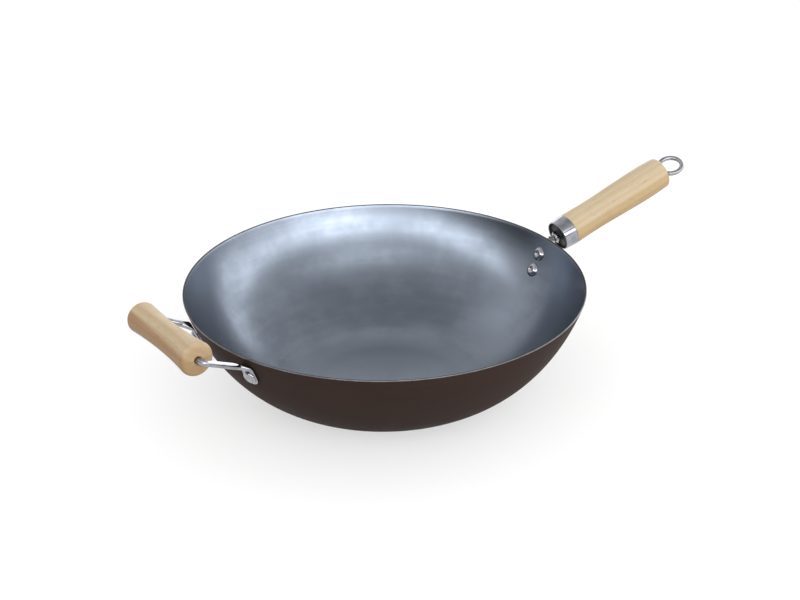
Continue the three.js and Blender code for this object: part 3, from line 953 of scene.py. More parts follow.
# Painted shade and reflection: the washer is near black to stand in for the shade and the bowl's dark
# reflection inside the recessed mouth.
SHADED_MOUTH_DISC = PlatedMetal(
    name="shaded_mouth_disc",
    clean=(0.085, 0.085, 0.088, 1),
    dull=(0.045, 0.045, 0.047, 1),
    roughness=(0.3, 0.5),
    smudge_size=0.005,
    grit_depth=0.00005,
)
GRIP_BEECH = Billet(
    pale=(0.545, 0.445, 0.3, 1),
    dark=(0.44, 0.325, 0.19, 1),
    fleck=(0.3, 0.19, 0.09, 1),
    # Painted shade: a slight darkening on the grip's lower near side.
    painted_shade=(0.95, 0.86, 0.68, 1),
    pith=(0.021, 0.013, 0.0),
    ring_width=0.0062,
    heart_side=(0.606, 0.795, 0.0),
    heart_from=0.0053,
    check_across=(1.0, 0.0, 0.0),
)
ROLL_BEECH = Billet(
    pale=(0.49, 0.385, 0.255, 1),
    dark=(0.39, 0.265, 0.14, 1),
    fleck=(0.27, 0.16, 0.07, 1),
    # Painted shade: a strong warm darkening on the roll's underside.
    painted_shade=(0.66, 0.51, 0.39, 1),
    pith=(-0.017, 0.019, 0.0),
    ring_width=0.0058,
    heart_side=(-0.664, 0.747, 0.044),
    heart_from=0.0022,
    check_across=(0.0, 1.0, 0.0),
)


# The wok

def seat(piece: bpy.types.Object, body: Body, slot: Slot, *nodes: str) -> None:
    """Hand a finished piece to the frame.

    Args:
        piece: the piece.
        body: the body that it rides on.
        slot: the material slot that its finish belongs to; not used.
        nodes: the solids that it stands for.
    """
    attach(piece, body.value)
    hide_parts(*nodes)
    LOG.info("%s: %d faces, rides on %s", piece.name, len(piece.data.polygons), body.value)


@dataclass(frozen=True)
class Wall:
    """The bowl's wall: a flat base, and one curve from its edge up to the rim.

    Attributes:
        rim_radius: outer radius at the rim.
        height: height of the rim.
        flat_radius: radius of the flat base.
        rim_slope: slope of the wall at the rim.
        knuckle_pull: how far the flat carries on before the wall turns up.
        rim_pull: how far the rim's slope carries on down the wall.
        thickness: thickness of the steel.
        seat_gap: hairline between two faces that bear on each other.
    """

    rim_radius: float = 0.1778
    height: float = 0.097
    flat_radius: float = 0.065
    rim_slope: float = math.radians(70)
    knuckle_pull: float = 0.0375
    rim_pull: float = 0.0767
    thickness: float = 0.0016
    seat_gap: float = 0.0003
    SIZES: ClassVar[tuple[str, ...]] = (
        "rim_radius", "height", "flat_radius", "rim_slope", "knuckle_pull", "rim_pull", "thickness")

    def controls(self) -> list[Vector]:
        """Return the four points that draw the outer wall."""
        slope = Vector((math.cos(self.rim_slope), 0, math.sin(self.rim_slope)))
        edge = Vector((self.flat_radius, 0, 0))
        rim = Vector((self.rim_radius, 0, self.height))
        return [edge, edge + Vector((self.knuckle_pull, 0, 0)), rim - slope * self.rim_pull, rim]

    def at(self, depth: float) -> Stop:
        """Find the outer wall below the rim.

        Args:
            depth: distance below the rim.

        Returns:
            The wall's point and upward direction, on the side of the grip.
        """
        low, high = 0.0, 1.0
        for _ in range(HALVINGS):
            share = (low + high) / 2
            points = self.controls()
            while len(points) > 2:
                points = [a.lerp(b, share) for a, b in pairwise(points)]
            found = Stop(points[0].lerp(points[1], share), (points[1] - points[0]).normalized())
            if found.point.z < self.height - depth:
                low = share
            else:
                high = share
        return found

    def plate(self, depth: float, thickness: float, azimuth: float = 0.0) -> Stop:
        """Find the middle of a plate that lies on the wall.

        Args:
            depth: distance below the rim.
            thickness: thickness of the plate.
            azimuth: angle round the bowl from the grip.

        Returns:
            The plate's middle and upward direction.
        """
        wall = self.at(depth)
        return Stop(wall.point + wall.outward() * (self.seat_gap + thickness / 2), wall.along).spun(azimuth)


@dataclass
class Bowl:
    """The spun shell.

    Attributes:
        wall: the wall's sizes.
        sides: faces round the axis.
        wall_steps: faces from the middle of the base to the rim.
        rim_steps: faces over each half of the rounded edge.
        curve_steps: pieces of the curve that the wall is read from.
    """

    wall: Wall
    sides: int = 224
    wall_steps: int = 88
    rim_steps: int = 4
    curve_steps: int = 600
    COUNTS: ClassVar[tuple[str, ...]] = ("sides", "wall_steps", "rim_steps", "curve_steps")

    def tree(self) -> bpy.types.NodeTree:
        """Return the tree that spins the shell, with a half-round edge worn bright on its outer half."""
        tree = GrowTree("spun_shell", {
            **{label(size): "NodeSocketFloat" for size in Wall.SIZES},
            **{label(count): "NodeSocketInt" for count in self.COUNTS},
            **{label(zone.name): "NodeSocketMaterial" for zone in Zone},
        })
        given = tree.inlet
        level, rise = (tree.math(part, given["Rim Slope"]) for part in ("COSINE", "SINE"))
        slope = tree.combine(level, 0.0, rise)
        rim = tree.combine(given["Rim Radius"], 0.0, given["Height"])
        curve = tree.node("GeometryNodeCurvePrimitiveBezierSegment", {
            "Resolution": given["Curve Steps"],
            "Start": tree.combine(given["Flat Radius"]),
            "Start Handle": tree.combine(tree.math("ADD", given["Flat Radius"], given["Knuckle Pull"])),
            "End Handle": tree.vector("SUBTRACT", rim, tree.scaled(slope, given["Rim Pull"])),
            "End": rim,
        }, mode="POSITION").outputs[0]
        half = tree.math("MULTIPLY", given["Thickness"], 0.5)
        lip = tree.math("DIVIDE", tree.math("MULTIPLY", half, tree.math("ADD", 1.0, level)), rise)
        climb = tree.math("SUBTRACT", tree.node("GeometryNodeCurveLength", {0: curve}).outputs[0], lip)
        run = tree.math("ADD", given["Flat Radius"], climb)

        def station(travelled: Socket) -> tuple[Socket, Socket]:
            """Return the outer surface's point and inward direction at a distance from the axis along it."""
            climbed = tree.math("SUBTRACT", travelled, given["Flat Radius"])
            sample = {"Curves": curve, "Length": climbed}
            on_curve = tree.node("GeometryNodeSampleCurve", sample, mode="LENGTH")
            on_wall = tree.math("GREATER_THAN", climbed, 0.0)
            point = tree.mix_vector(on_wall, tree.combine(travelled), on_curve.outputs["Position"])
            along = tree.separate(tree.mix_vector(on_wall, (1.0, 0.0, 0.0), on_curve.outputs["Tangent"]))
            return point, tree.combine(tree.math("MULTIPLY", along["Z"], -1.0), 0.0, along["X"])

        def face(depth: Any) -> Rule:
            """Return the rule for a surface at a depth inside the outer one."""
            def rule(share: Socket) -> Socket:
                """Return the surface's point at a share of its run."""
                point, inward = station(tree.math("MULTIPLY", share, run))
                return tree.vector("ADD", point, tree.scaled(inward, depth))
            return rule

        def edge(start: float) -> Rule:
            """Return the rule for a quarter of the edge that starts at an angle round it from the outside."""
            def rule(share: Socket) -> Socket:
                """Return the edge's point at a share of the quarter."""
                point, inward = station(run)
                angle = tree.math("MULTIPLY_ADD", share, math.pi / 2, start)
                leaned = tree.separate(inward)
                upward = tree.combine(leaned["Z"], 0.0, tree.math("MULTIPLY", leaned["X"], -1.0))
                across = tree.math("MULTIPLY", half, tree.math("SUBTRACT", 1.0, tree.math("COSINE", angle)))
                lift = tree.math("MULTIPLY", half, tree.math("SINE", angle))
                moved = tree.vector("ADD", tree.scaled(inward, across), tree.scaled(upward, lift))
                return tree.vector("ADD", point, moved)
            return rule

        def spun(steps: str, rule: Rule) -> Socket:
            """Return one surface of the shell."""
            return tree.turned(given[steps], given["Sides"], rule)

        surfaces = [
            (Zone.OUTSIDE, spun("Wall Steps", face(0.0))),
            (Zone.INSIDE, tree.flipped(spun("Wall Steps", face(given["Thickness"])))),
            (Zone.EDGE, spun("Rim Steps", edge(0.0))),
            (Zone.OUTSIDE, spun("Rim Steps", edge(math.pi / 2))),
        ]
        marked = []
        for zone, surface in surfaces:
            mark = {"Geometry": surface, "Name": "zone", "Value": zone.value}
            stored = tree.node("GeometryNodeStoreNamedAttribute", mark, data_type="INT", domain="FACE")
            marked.append(stored.outputs[0])
        shell = tree.welded(tree.join(marked))
        which = tree.node("GeometryNodeInputNamedAttribute", {"Name": "zone"}, data_type="INT").outputs[0]
        for zone in Zone:
            pair = {2: which, 3: zone.value}
            chosen = tree.node("FunctionNodeCompare", pair, data_type="INT", operation="EQUAL").outputs[0]
            shell = tree.finished(shell, given[label(zone.name)], chosen)
        tree.feed(tree.outlet["Geometry"], shell)
        return tree.tree

    def build(self) -> None:
        """Spin the shell and finish its three surfaces."""
        finishes = {Zone.INSIDE: SATIN_STEEL, Zone.OUTSIDE: BROWN_OXIDE, Zone.EDGE: BRIGHT_EDGE}
        shell = grow("bowl_shell", bpy.data.meshes.new("bowl_start"), self.tree(), {
            **labelled(self.wall, Wall.SIZES),
            **labelled(self, self.COUNTS),
            **{label(zone.name): finish.material() for zone, finish in finishes.items()},
        })
        seat(shell, Body.PAN, Slot.BOWL_STEEL, "bowl")


@dataclass
class Rivets:
    """Domed rivets that hold the strap and the bail to the wall.

    Attributes:
        chrome: their finish.
        dome_radius: radius of the domed head.
        dome_height: height of the domed head.
        dimple: depth of the setting tool's mark in the top of the dome.
        dimple_reach: radius of that mark, as a share of the dome's.
        tail_radius: radius of the set tail.
        tail_height: height of the set tail.
        shank_radius: radius of the shank.
        sides: faces round a rivet.
        head_steps: faces over a head.
    """

    chrome: bpy.types.Material
    dome_radius: float = 0.0065
    dome_height: float = 0.0032
    dimple: float = 0.0012
    dimple_reach: float = 0.6
    tail_radius: float = 0.0034
    tail_height: float = 0.0011
    shank_radius: float = 0.0024
    sides: int = 40
    head_steps: int = 20
    SIZES: ClassVar[tuple[str, ...]] = (
        "dome_radius", "dome_height", "dimple", "dimple_reach", "tail_radius", "tail_height", "shank_radius")
    COUNTS: ClassVar[tuple[str, ...]] = ("sides", "head_steps")

    def tree(self) -> bpy.types.NodeTree:
        """Return the tree that puts a rivet on each point, with its dome towards the point's direction."""
        tree = GrowTree("riveting", {
            **{label(size): "NodeSocketFloat" for size in (*self.SIZES, "grip")},
            **{label(count): "NodeSocketInt" for count in self.COUNTS},
            "Finish": "NodeSocketMaterial",
        })
        given = tree.inlet

        def head(radius: Socket, height: Socket, dimple: Socket | float = 0.0) -> Socket:
            """Return a domed head that stands on the XY plane."""
            def rule(share: Socket) -> Socket:
                """Return the dome's point at a share of the way from its edge to its top."""
                angle = tree.math("MULTIPLY", share, math.pi / 2)
                out = tree.math("COSINE", angle)
                spread = tree.math("POWER", tree.math("DIVIDE", out, given["Dimple Reach"]), 2.0)
                inside = tree.math("MAXIMUM", tree.math("SUBTRACT", 1.0, spread), 0.0)
                sunk = tree.math("MULTIPLY", dimple, tree.math("POWER", inside, 2.0))
                rise = tree.math("SUBTRACT", tree.math("MULTIPLY", height, tree.math("SINE", angle)), sunk)
                return tree.combine(tree.math("MULTIPLY", radius, out), 0.0, rise)
            inputs = {"Vertices": given["Sides"], "Radius": radius}
            under = tree.node("GeometryNodeMeshCircle", inputs, fill_type="NGON").outputs[0]
            return tree.join([tree.turned(given["Head Steps"], given["Sides"], rule), tree.flipped(under)])

        down = tree.math("MULTIPLY", given["Grip"], -1.0)
        tail = tree.node("GeometryNodeTransform", {
            "Geometry": head(given["Tail Radius"], given["Tail Height"]),
            "Translation": tree.combine(z=down),
            "Rotation": (math.pi, 0.0, 0.0),
        }).outputs[0]
        shank = tree.node("GeometryNodeMeshCylinder", {
            "Vertices": given["Sides"],
            "Radius": given["Shank Radius"],
            "Depth": given["Grip"],
        }, fill_type="NONE").outputs[0]
        middle = tree.combine(z=tree.math("MULTIPLY", down, 0.5))
        shank = tree.node("GeometryNodeTransform", {"Geometry": shank, "Translation": middle}).outputs[0]
        dome = head(given["Dome Radius"], given["Dome Height"], given["Dimple"])
        rivet = tree.welded(tree.join([dome, tail, shank]))
        toward = tree.node("GeometryNodeInputNamedAttribute", {"Name": "toward"}, data_type="FLOAT_VECTOR")
        facing = {"Vector": toward.outputs[0]}
        turn = tree.node("FunctionNodeAlignRotationToVector", facing, axis="Z").outputs[0]
        placed = tree.node("GeometryNodeInstanceOnPoints", {
            "Points": tree.node("GeometryNodeMeshToPoints", {0: given["Geometry"]}).outputs[0],
            "Instance": rivet,
            "Rotation": turn,
        }).outputs[0]
        tree.feed(tree.outlet["Geometry"], tree.finished(placed, given["Finish"]))
        return tree.tree

    def build(self, name: str, tree: bpy.types.NodeTree, seats: Sequence[Stop], grip: float,
              nodes: Sequence[str]) -> None:
        """Set a group of like rivets.

        Args:
            name: the name of the piece.
            tree: the riveting tree.
            seats: the underside of each domed head, and the way that the dome faces.
            grip: distance between the two heads.
            nodes: the solids that the rivets stand for.
        """
        points = bpy.data.meshes.new(f"{name}_seats")
        points.from_pydata([stop.point for stop in seats], [], [])
        toward = points.attributes.new("toward", "FLOAT_VECTOR", "POINT")
        for place, stop in zip(toward.data, seats):
            place.vector = stop.along
        rivets = grow(name, points, tree, {
            **labelled(self, self.SIZES + self.COUNTS),
            "Grip": grip,
            "Finish": self.chrome,
        })
        rivets.data.set_sharp_from_angle(angle=SMOOTH_BELOW)
        seat(rivets, Body.PAN, Slot.CHROME_PLATE, *nodes)


@dataclass
class Strap:
    """The bent strap that carries the grip.

    Attributes:
        wall: the wall that it lies on.
        tilt: slope of the grip's axis.
        thickness: thickness of the strap.
        width: width on the wall.
        tongue_width: width of the tongue that carries the stud.
        corner: radius of its lower corners.
        edge: radius of its worn edges.
        toe: length below the lower rivet.
        bend_radius: radius of its bend.
        root_depth: where the grip's axis meets it, below the rim.
        tongue_length: length of the tongue.
        rivet_pitch: distance between its two rivets.
        rivet_below_bend: distance from the bend to the edge of the upper rivet's tail.
        tail_radius: radius of a rivet's tail.
        steps: pieces of each stretch.
        tongue_steps: pieces of the tongue beyond the bend.
        edge_steps: faces round each worn edge.
        axis: the way that the grip runs.
        root: where the grip's axis meets the strap.
        turn: the stops round its bend.
        bend_depth: where the bend starts, below the rim.
        rivet_depths: where its two rivets go, below the rim.
        low_depth: where its lower end lies, below the rim.
    """

    wall: Wall
    tilt: float = math.radians(16.1)
    thickness: float = 0.0026
    width: float = 0.024
    tongue_width: float = 0.010
    corner: float = 0.005
    edge: float = 0.0006
    toe: float = 0.010
    bend_radius: float = 0.006
    root_depth: float = 0.0062
    tongue_length: float = 0.007
    rivet_pitch: float = 0.0142
    rivet_below_bend: float = 0.0027
    tail_radius: float = 0.0034
    steps: int = 14
    tongue_steps: int = 3
    edge_steps: int = 4
    axis: Vector = field(init=False)
    root: Stop = field(init=False)
    turn: list[Stop] = field(init=False)
    bend_depth: float = field(init=False)
    rivet_depths: tuple[float, float] = field(init=False)
    low_depth: float = field(init=False)

    def __post_init__(self) -> None:
        """Work out where the strap bends and where its rivets go."""
        self.axis = Vector((math.cos(self.tilt), 0, math.sin(self.tilt)))
        self.root = self.wall.plate(self.root_depth, self.thickness)
        self.turn = bend(self.root.point, self.root.along, self.axis, self.bend_radius, self.steps)
        self.bend_depth = self.wall.height - self.turn[0].point.z
        upper = self.bend_depth + self.rivet_below_bend + self.tail_radius
        self.rivet_depths = (upper, upper + self.rivet_pitch)
        self.low_depth = self.rivet_depths[1] + self.toe

    def half_width(self, climbed: float, depth: float) -> float:
        """Find half of the strap's width.

        Args:
            climbed: height above the strap's lower end.
            depth: distance below the rim.

        Returns:
            Half of the width, drawn in at the lower corners and towards the tongue.
        """
        full = self.width / 2
        if climbed < self.corner:
            return full - self.corner + math.sqrt(self.corner**2 - (self.corner - climbed) ** 2)
        neck = self.bend_depth - self.thickness
        share = (self.rivet_depths[0] - depth) / (self.rivet_depths[0] - neck)
        return mixed(full, self.tongue_width / 2, min(max(share, 0.0), 1.0))

    def build(self, steel: bpy.types.Material) -> None:
        """Build the strap.

        Args:
            steel: its finish.
        """
        quarters = [i * math.pi / 2 / self.steps for i in range(self.steps)]
        rounded = [self.low_depth - self.corner * (1 - math.cos(quarter)) for quarter in quarters]
        straight_from = self.low_depth - self.corner
        straight = [mixed(straight_from, self.bend_depth, i / self.steps) for i in range(self.steps)]
        stops = [self.wall.plate(depth, self.thickness) for depth in rounded + straight]
        stops += self.turn
        reach = self.tongue_length - (self.turn[-1].point - self.root.point).length
        for i in range(1, self.tongue_steps + 1):
            stops.append(Stop(self.turn[-1].point + self.axis * reach * i / self.tongue_steps, self.axis))
        rings = []
        for stop in stops:
            depth = self.wall.height - stop.point.z
            climbed = stop.point.z - stops[0].point.z
            half = (self.half_width(climbed, depth), self.thickness / 2)
            rings.append(flat_section(stop, Vector((0, 1, 0)), half, self.edge, self.edge_steps))
        strap = skin("handle_strap", rings, steel)
        seat(strap, Body.PAN, Slot.PLAIN_STEEL, "handle_bracket")


@dataclass
class MainHandle:
    """The stud, nut, washer, ferrule and turned grip, on one axis from the mouth of the ferrule.

    Attributes:
        strap: the strap that carries them.
        stud_radius: radius of the stud.
        stud_bare: length of stud between the strap and the mouth of the ferrule.
        stud_in_grip: length of stud inside the mouth.
        thread_pitch: distance between two turns of the thread.
        thread_depth: depth of the thread.
        thread_out: length of thread that shows beyond the nut.
        weld: height of the weld round the foot of the stud.
        nut_flats: width of the nut across its flats.
        nut_height: height of the nut.
        nut_face: radius of the nut's end faces, as a share of half of its flats.
        nut_slope: slope of the cone that has turned its corners off.
        washer: thickness of the washer.
        recess: how far the washer lies inside the mouth.
        mouth_radius: outer radius of the ferrule at its mouth.
        end_radius: outer radius of the ferrule at the grip.
        ferrule_length: length of the ferrule.
        ferrule_wall: thickness of the ferrule.
        gap: clearance between two pieces.
        grip_step: how far the wood lies below the ferrule's end.
        grip_length: length of the wood outside the ferrule.
        waist: radius of the grip's waist and its distance from the ferrule.
        belly: radius of the grip's belly and its distance from the end.
        grip_end: radius of the grip at its end.
        grip_edge: radius of the end's rounded edge.
        sides: faces round a turned piece.
        thread_steps: rings in one turn of the thread.
        washer_steps: faces over the washer's edge.
        lip_steps: faces over the ferrule's rolled edges.
        edge_steps: faces over the weld and over the grip's end.
        side_steps: pieces of the grip's side between two of its points.
        place: the mouth of the ferrule, with the grip's axis along Z.
        grip_stop: distance from the mouth to the grip's end.
    """

    strap: Strap
    stud_radius: float = 0.003
    stud_bare: float = 0.0078
    stud_in_grip: float = 0.046
    thread_pitch: float = 0.001
    thread_depth: float = 0.0005
    thread_out: float = 0.0008
    weld: float = 0.0012
    nut_flats: float = 0.010
    nut_height: float = 0.005
    nut_face: float = 0.94
    nut_slope: float = math.radians(30)
    washer: float = 0.0015
    recess: float = 0.0022
    mouth_radius: float = 0.0139
    end_radius: float = 0.015
    ferrule_length: float = 0.0128
    ferrule_wall: float = 0.001
    gap: float = 0.0003
    grip_step: float = 0.0003
    grip_length: float = 0.1122
    waist: tuple[float, float] = (0.0142, 0.0302)
    belly: tuple[float, float] = (0.0155, 0.027)
    grip_end: float = 0.0148
    grip_edge: float = 0.003
    sides: int = 96
    thread_steps: int = 8
    washer_steps: int = 4
    lip_steps: int = 6
    edge_steps: int = 8
    side_steps: int = 14
    place: Matrix = field(init=False)
    grip_stop: float = field(init=False)

    def __post_init__(self) -> None:
        """Work out the place of the mouth, whose own Z is the grip's axis and own X the near side."""
        axis = self.strap.axis
        mouth = self.strap.root.point + axis * (self.strap.tongue_length + self.stud_bare)
        near = Vector((0, -1, 0))
        turn = Matrix((near, axis.cross(near), axis)).transposed()
        self.place = Matrix.Translation(mouth) @ turn.to_4x4()
        self.grip_stop = self.ferrule_length + self.grip_length

    def ring(self, radius: Callable[[float], float] | float, height: float) -> Ring:
        """Return a ring round the grip's axis, at a distance from the mouth."""
        return turned_ring(radius, height, self.place, self.sides)

    def turn(self, name: str, profile: Profile, finish: bpy.types.Material,
             closed: bool = False) -> bpy.types.Object:
        """Turn a profile round the grip's axis.

        Args:
            name: the name of the piece.
            profile: radii and distances from the mouth.
            finish: the material.
            closed: True where the profile closes on itself.

        Returns:
            The piece.
        """
        return skin(name, [self.ring(radius, height) for radius, height in profile], finish, closed)

    def bore(self, distance: float) -> float:
        """Return the inner radius of the ferrule at a distance from its mouth."""
        return mixed(self.mouth_radius, self.end_radius, distance / self.ferrule_length) - self.ferrule_wall

    def thread(self, turns: float) -> Callable[[float], float]:
        """Return the rule for the thread's radius at an angle, some turns along it."""
        cut = self.thread_depth * eased(turns)

        def rule(angle: float) -> float:
            """Return the radius at an angle."""
            phase = (turns - angle / FULL_TURN) % 1
            return self.stud_radius - cut * abs(2 * phase - 1)
        return rule

    def build_stud(self, steel: bpy.types.Material) -> None:
        """Build the stud, with its weld at the strap and the thread that the nut runs on.

        Args:
            steel: its finish.
        """
        foot = self.gap - self.stud_bare
        thread_from = self.recess - self.gap - self.nut_height - self.thread_out
        thread_to = self.recess
        centre = (self.stud_radius + self.weld, foot + self.weld)
        weld = [(0.0, foot), *quarter_round(centre, -self.weld, -self.weld, self.edge_steps)]
        rings = [self.ring(radius, height) for radius, height in weld]
        count = round((thread_to - thread_from) / self.thread_pitch * self.thread_steps)
        for i in range(count + 1):
            turns = i / self.thread_steps
            rings.append(self.ring(self.thread(turns), thread_from + turns * self.thread_pitch))
        rings.append(self.ring(self.stud_radius, thread_to + self.thread_pitch))
        rings += [self.ring(radius, self.stud_in_grip) for radius in (self.stud_radius, 0.0)]
        stud = skin("threaded_stud", rings, steel)
        seat(stud, Body.PAN, Slot.PLAIN_STEEL, "tang_stud")

    def build_nut(self, steel: bpy.types.Material) -> None:
        """Build the chamfered hexagon nut.

        Args:
            steel: its finish.
        """
        flat = self.nut_flats / 2
        bore = self.stud_radius + self.gap
        chamfer = flat * self.nut_face
        slope = math.tan(self.nut_slope)
        high = self.recess - self.gap
        low = high - self.nut_height
        sixth = math.pi / 3

        def hexagon(angle: float) -> float:
            """Return the hexagon's radius at an angle from a corner."""
            return flat / math.cos((angle % sixth) - sixth / 2)

        def outline(side: float) -> Ring:
            """Return the hexagon where a cone has turned its corners off, on the low or the high side."""
            ring = []
            for k in range(self.sides):
                angle = k * FULL_TURN / self.sides
                reach = hexagon(angle)
                drop = (reach - chamfer) * slope
                height = low + drop if side < 0 else high - drop
                ring.append(self.place @ Vector((reach * math.cos(angle), reach * math.sin(angle), height)))
            return ring

        rings = [
            self.ring(bore, low),
            self.ring(chamfer, low),
            outline(-1),
            outline(1),
            self.ring(chamfer, high),
            self.ring(bore, high),
        ]
        nut = skin("hex_nut", rings, steel, closed=True)
        seat(nut, Body.PAN, Slot.PLAIN_STEEL, "jam_nut")

    def build_collar(self, chrome: bpy.types.Material, dark: bpy.types.Material) -> None:
        """Build the ferrule and the washer in its mouth, the washer painted near black as shade and the
        bowl's dark reflection.

        Args:
            chrome: the ferrule's finish.
            dark: the washer's finish, near black as painted shade.
        """
        inner = self.stud_radius + self.gap
        outer = self.bore(self.recess) - self.gap
        back = self.recess + self.washer
        soft = self.gap
        washer = self.turn("mouth_washer", [
            (inner, self.recess),
            *quarter_round((outer - soft, self.recess + soft), soft, -soft, self.washer_steps),
            (outer, back),
            (inner, back),
        ], dark, closed=True)
        seat(washer, Body.PAN, Slot.DARK_STEEL, "ferrule_washer")
        lip = self.ferrule_wall / 2
        rolled = quarter_round((self.mouth_radius - lip, lip), lip, -lip, self.lip_steps)
        centre = (self.end_radius - lip, self.ferrule_length - lip)
        crimp = quarter_round(centre, lip, lip, self.lip_steps)
        ferrule = self.turn("chrome_ferrule", [
            (self.bore(lip), lip),
            *((2 * (self.mouth_radius - lip) - radius, height) for radius, height in reversed(rolled[1:])),
            *rolled,
            *reversed(crimp),
            (self.bore(self.ferrule_length), self.ferrule_length),
        ], chrome, closed=True)
        seat(ferrule, Body.PAN, Slot.CHROME_PLATE, "ferrule")

    def build_grip(self, wood: bpy.types.Material) -> None:
        """Build the turned grip.

        Args:
            wood: its finish.
        """
        bore = self.stud_radius + self.gap
        spigot = self.recess + self.washer + self.gap
        bore_end = self.stud_in_grip + self.gap
        start = self.ferrule_length + self.gap
        side = through([
            (self.end_radius - self.grip_step, start),
            (self.waist[0], self.ferrule_length + self.waist[1]),
            (self.belly[0], self.grip_stop - self.belly[1]),
            (self.grip_end, self.grip_stop - self.grip_edge),
        ], self.side_steps)
        centre = (self.grip_end - self.grip_edge, self.grip_stop - self.grip_edge)
        edge = quarter_round(centre, self.grip_edge, self.grip_edge, self.edge_steps)
        grip = self.turn("turned_grip", [
            (0.0, bore_end),
            (bore, bore_end),
            (bore, spigot),
            (self.bore(spigot) - self.gap, spigot),
            (self.bore(start) - self.gap, start),
            *side,
            *list(reversed(edge))[1:],
            (0.0, self.grip_stop),
        ], wood)
        seat(grip, Body.PAN, Slot.TURNED_WOOD, "main_grip")


@dataclass
class HangLoop:
    """The wire ring in the end of the grip.

    Attributes:
        handle: the handle that it stands in.
        wire_radius: radius of the wire.
        radius: radius of the ring.
        leg_half: half of the distance between its legs.
        neck: radius of the bend from a leg into the ring.
        stand: straight length of leg outside the grip.
        in_grip: length of leg inside the grip.
        twist: angle that the ring is turned round the grip's axis.
        steps: pieces of the neck's bend.
        ring_steps: pieces of the ring.
        sides: faces round the wire.
    """

    handle: MainHandle
    wire_radius: float = 0.00225
    radius: float = 0.0108
    leg_half: float = 0.005
    neck: float = 0.004
    stand: float = 0.0006
    in_grip: float = 0.015
    twist: float = math.radians(12)
    steps: int = 12
    ring_steps: int = 72
    sides: int = 28

    def tree(self) -> bpy.types.NodeTree:
        """Return the tree that draws a wire along a route."""
        tree = GrowTree("wire", {
            "Wire Radius": "NodeSocketFloat",
            "Sides": "NodeSocketInt",
            "Finish": "NodeSocketMaterial",
        })
        given = tree.inlet
        inputs = {"Resolution": given["Sides"], "Radius": given["Wire Radius"]}
        section = tree.node("GeometryNodeCurvePrimitiveCircle", inputs, mode="RADIUS").outputs[0]
        drawn = tree.node("GeometryNodeCurveToMesh", {
            "Curve": given["Geometry"],
            "Profile Curve": section,
            "Fill Caps": True,
        }).outputs[0]
        smooth = tree.node("GeometryNodeSetShadeSmooth", {"Geometry": drawn}).outputs[0]
        tree.feed(tree.outlet["Geometry"], tree.finished(smooth, given["Finish"]))
        return tree.tree

    def route(self) -> list[Vector]:
        """Return the wire's route: a leg, a neck, the ring, and the other neck and leg."""
        grip_stop = self.handle.grip_stop
        neck_x = self.leg_half + self.neck
        neck_y = grip_stop + self.stand
        ring_y = neck_y + math.sqrt((self.radius + self.neck) ** 2 - neck_x**2)
        meeting = math.atan2(neck_y - ring_y, neck_x)
        side = [(self.leg_half, grip_stop - self.in_grip)]
        for i in range(self.steps):
            angle = math.pi + meeting * i / self.steps
            side.append((neck_x + self.neck * math.cos(angle), neck_y + self.neck * math.sin(angle)))
        ring = []
        for i in range(self.ring_steps + 1):
            angle = mixed(meeting, math.pi - meeting, i / self.ring_steps)
            ring.append((self.radius * math.cos(angle), ring_y + self.radius * math.sin(angle)))
        flat = side + ring + [(-x, y) for x, y in reversed(side)]
        place = self.handle.place @ Matrix.Rotation(self.twist, 4, "Z")
        return [place @ Vector((x, 0, y)) for x, y in flat]

    def build(self, chrome: bpy.types.Material) -> None:
        """Build the ring.

        Args:
            chrome: its finish.
        """
        route = self.route()
        path = bpy.data.curves.new("hang_ring_route", "CURVE")
        path.dimensions = "3D"
        line = path.splines.new("POLY")
        line.points.add(len(route) - 1)
        for stop, point in zip(line.points, route):
            stop.co = (*point, 1)
        ring = grow("hang_ring", path, self.tree(), {
            "Wire Radius": self.wire_radius,
            "Sides": self.sides,
            "Finish": chrome,
        })
        ring.data.set_sharp_from_angle(angle=SMOOTH_BELOW)
        seat(ring, Body.PAN, Slot.CHROME_PLATE, "hang_loop")


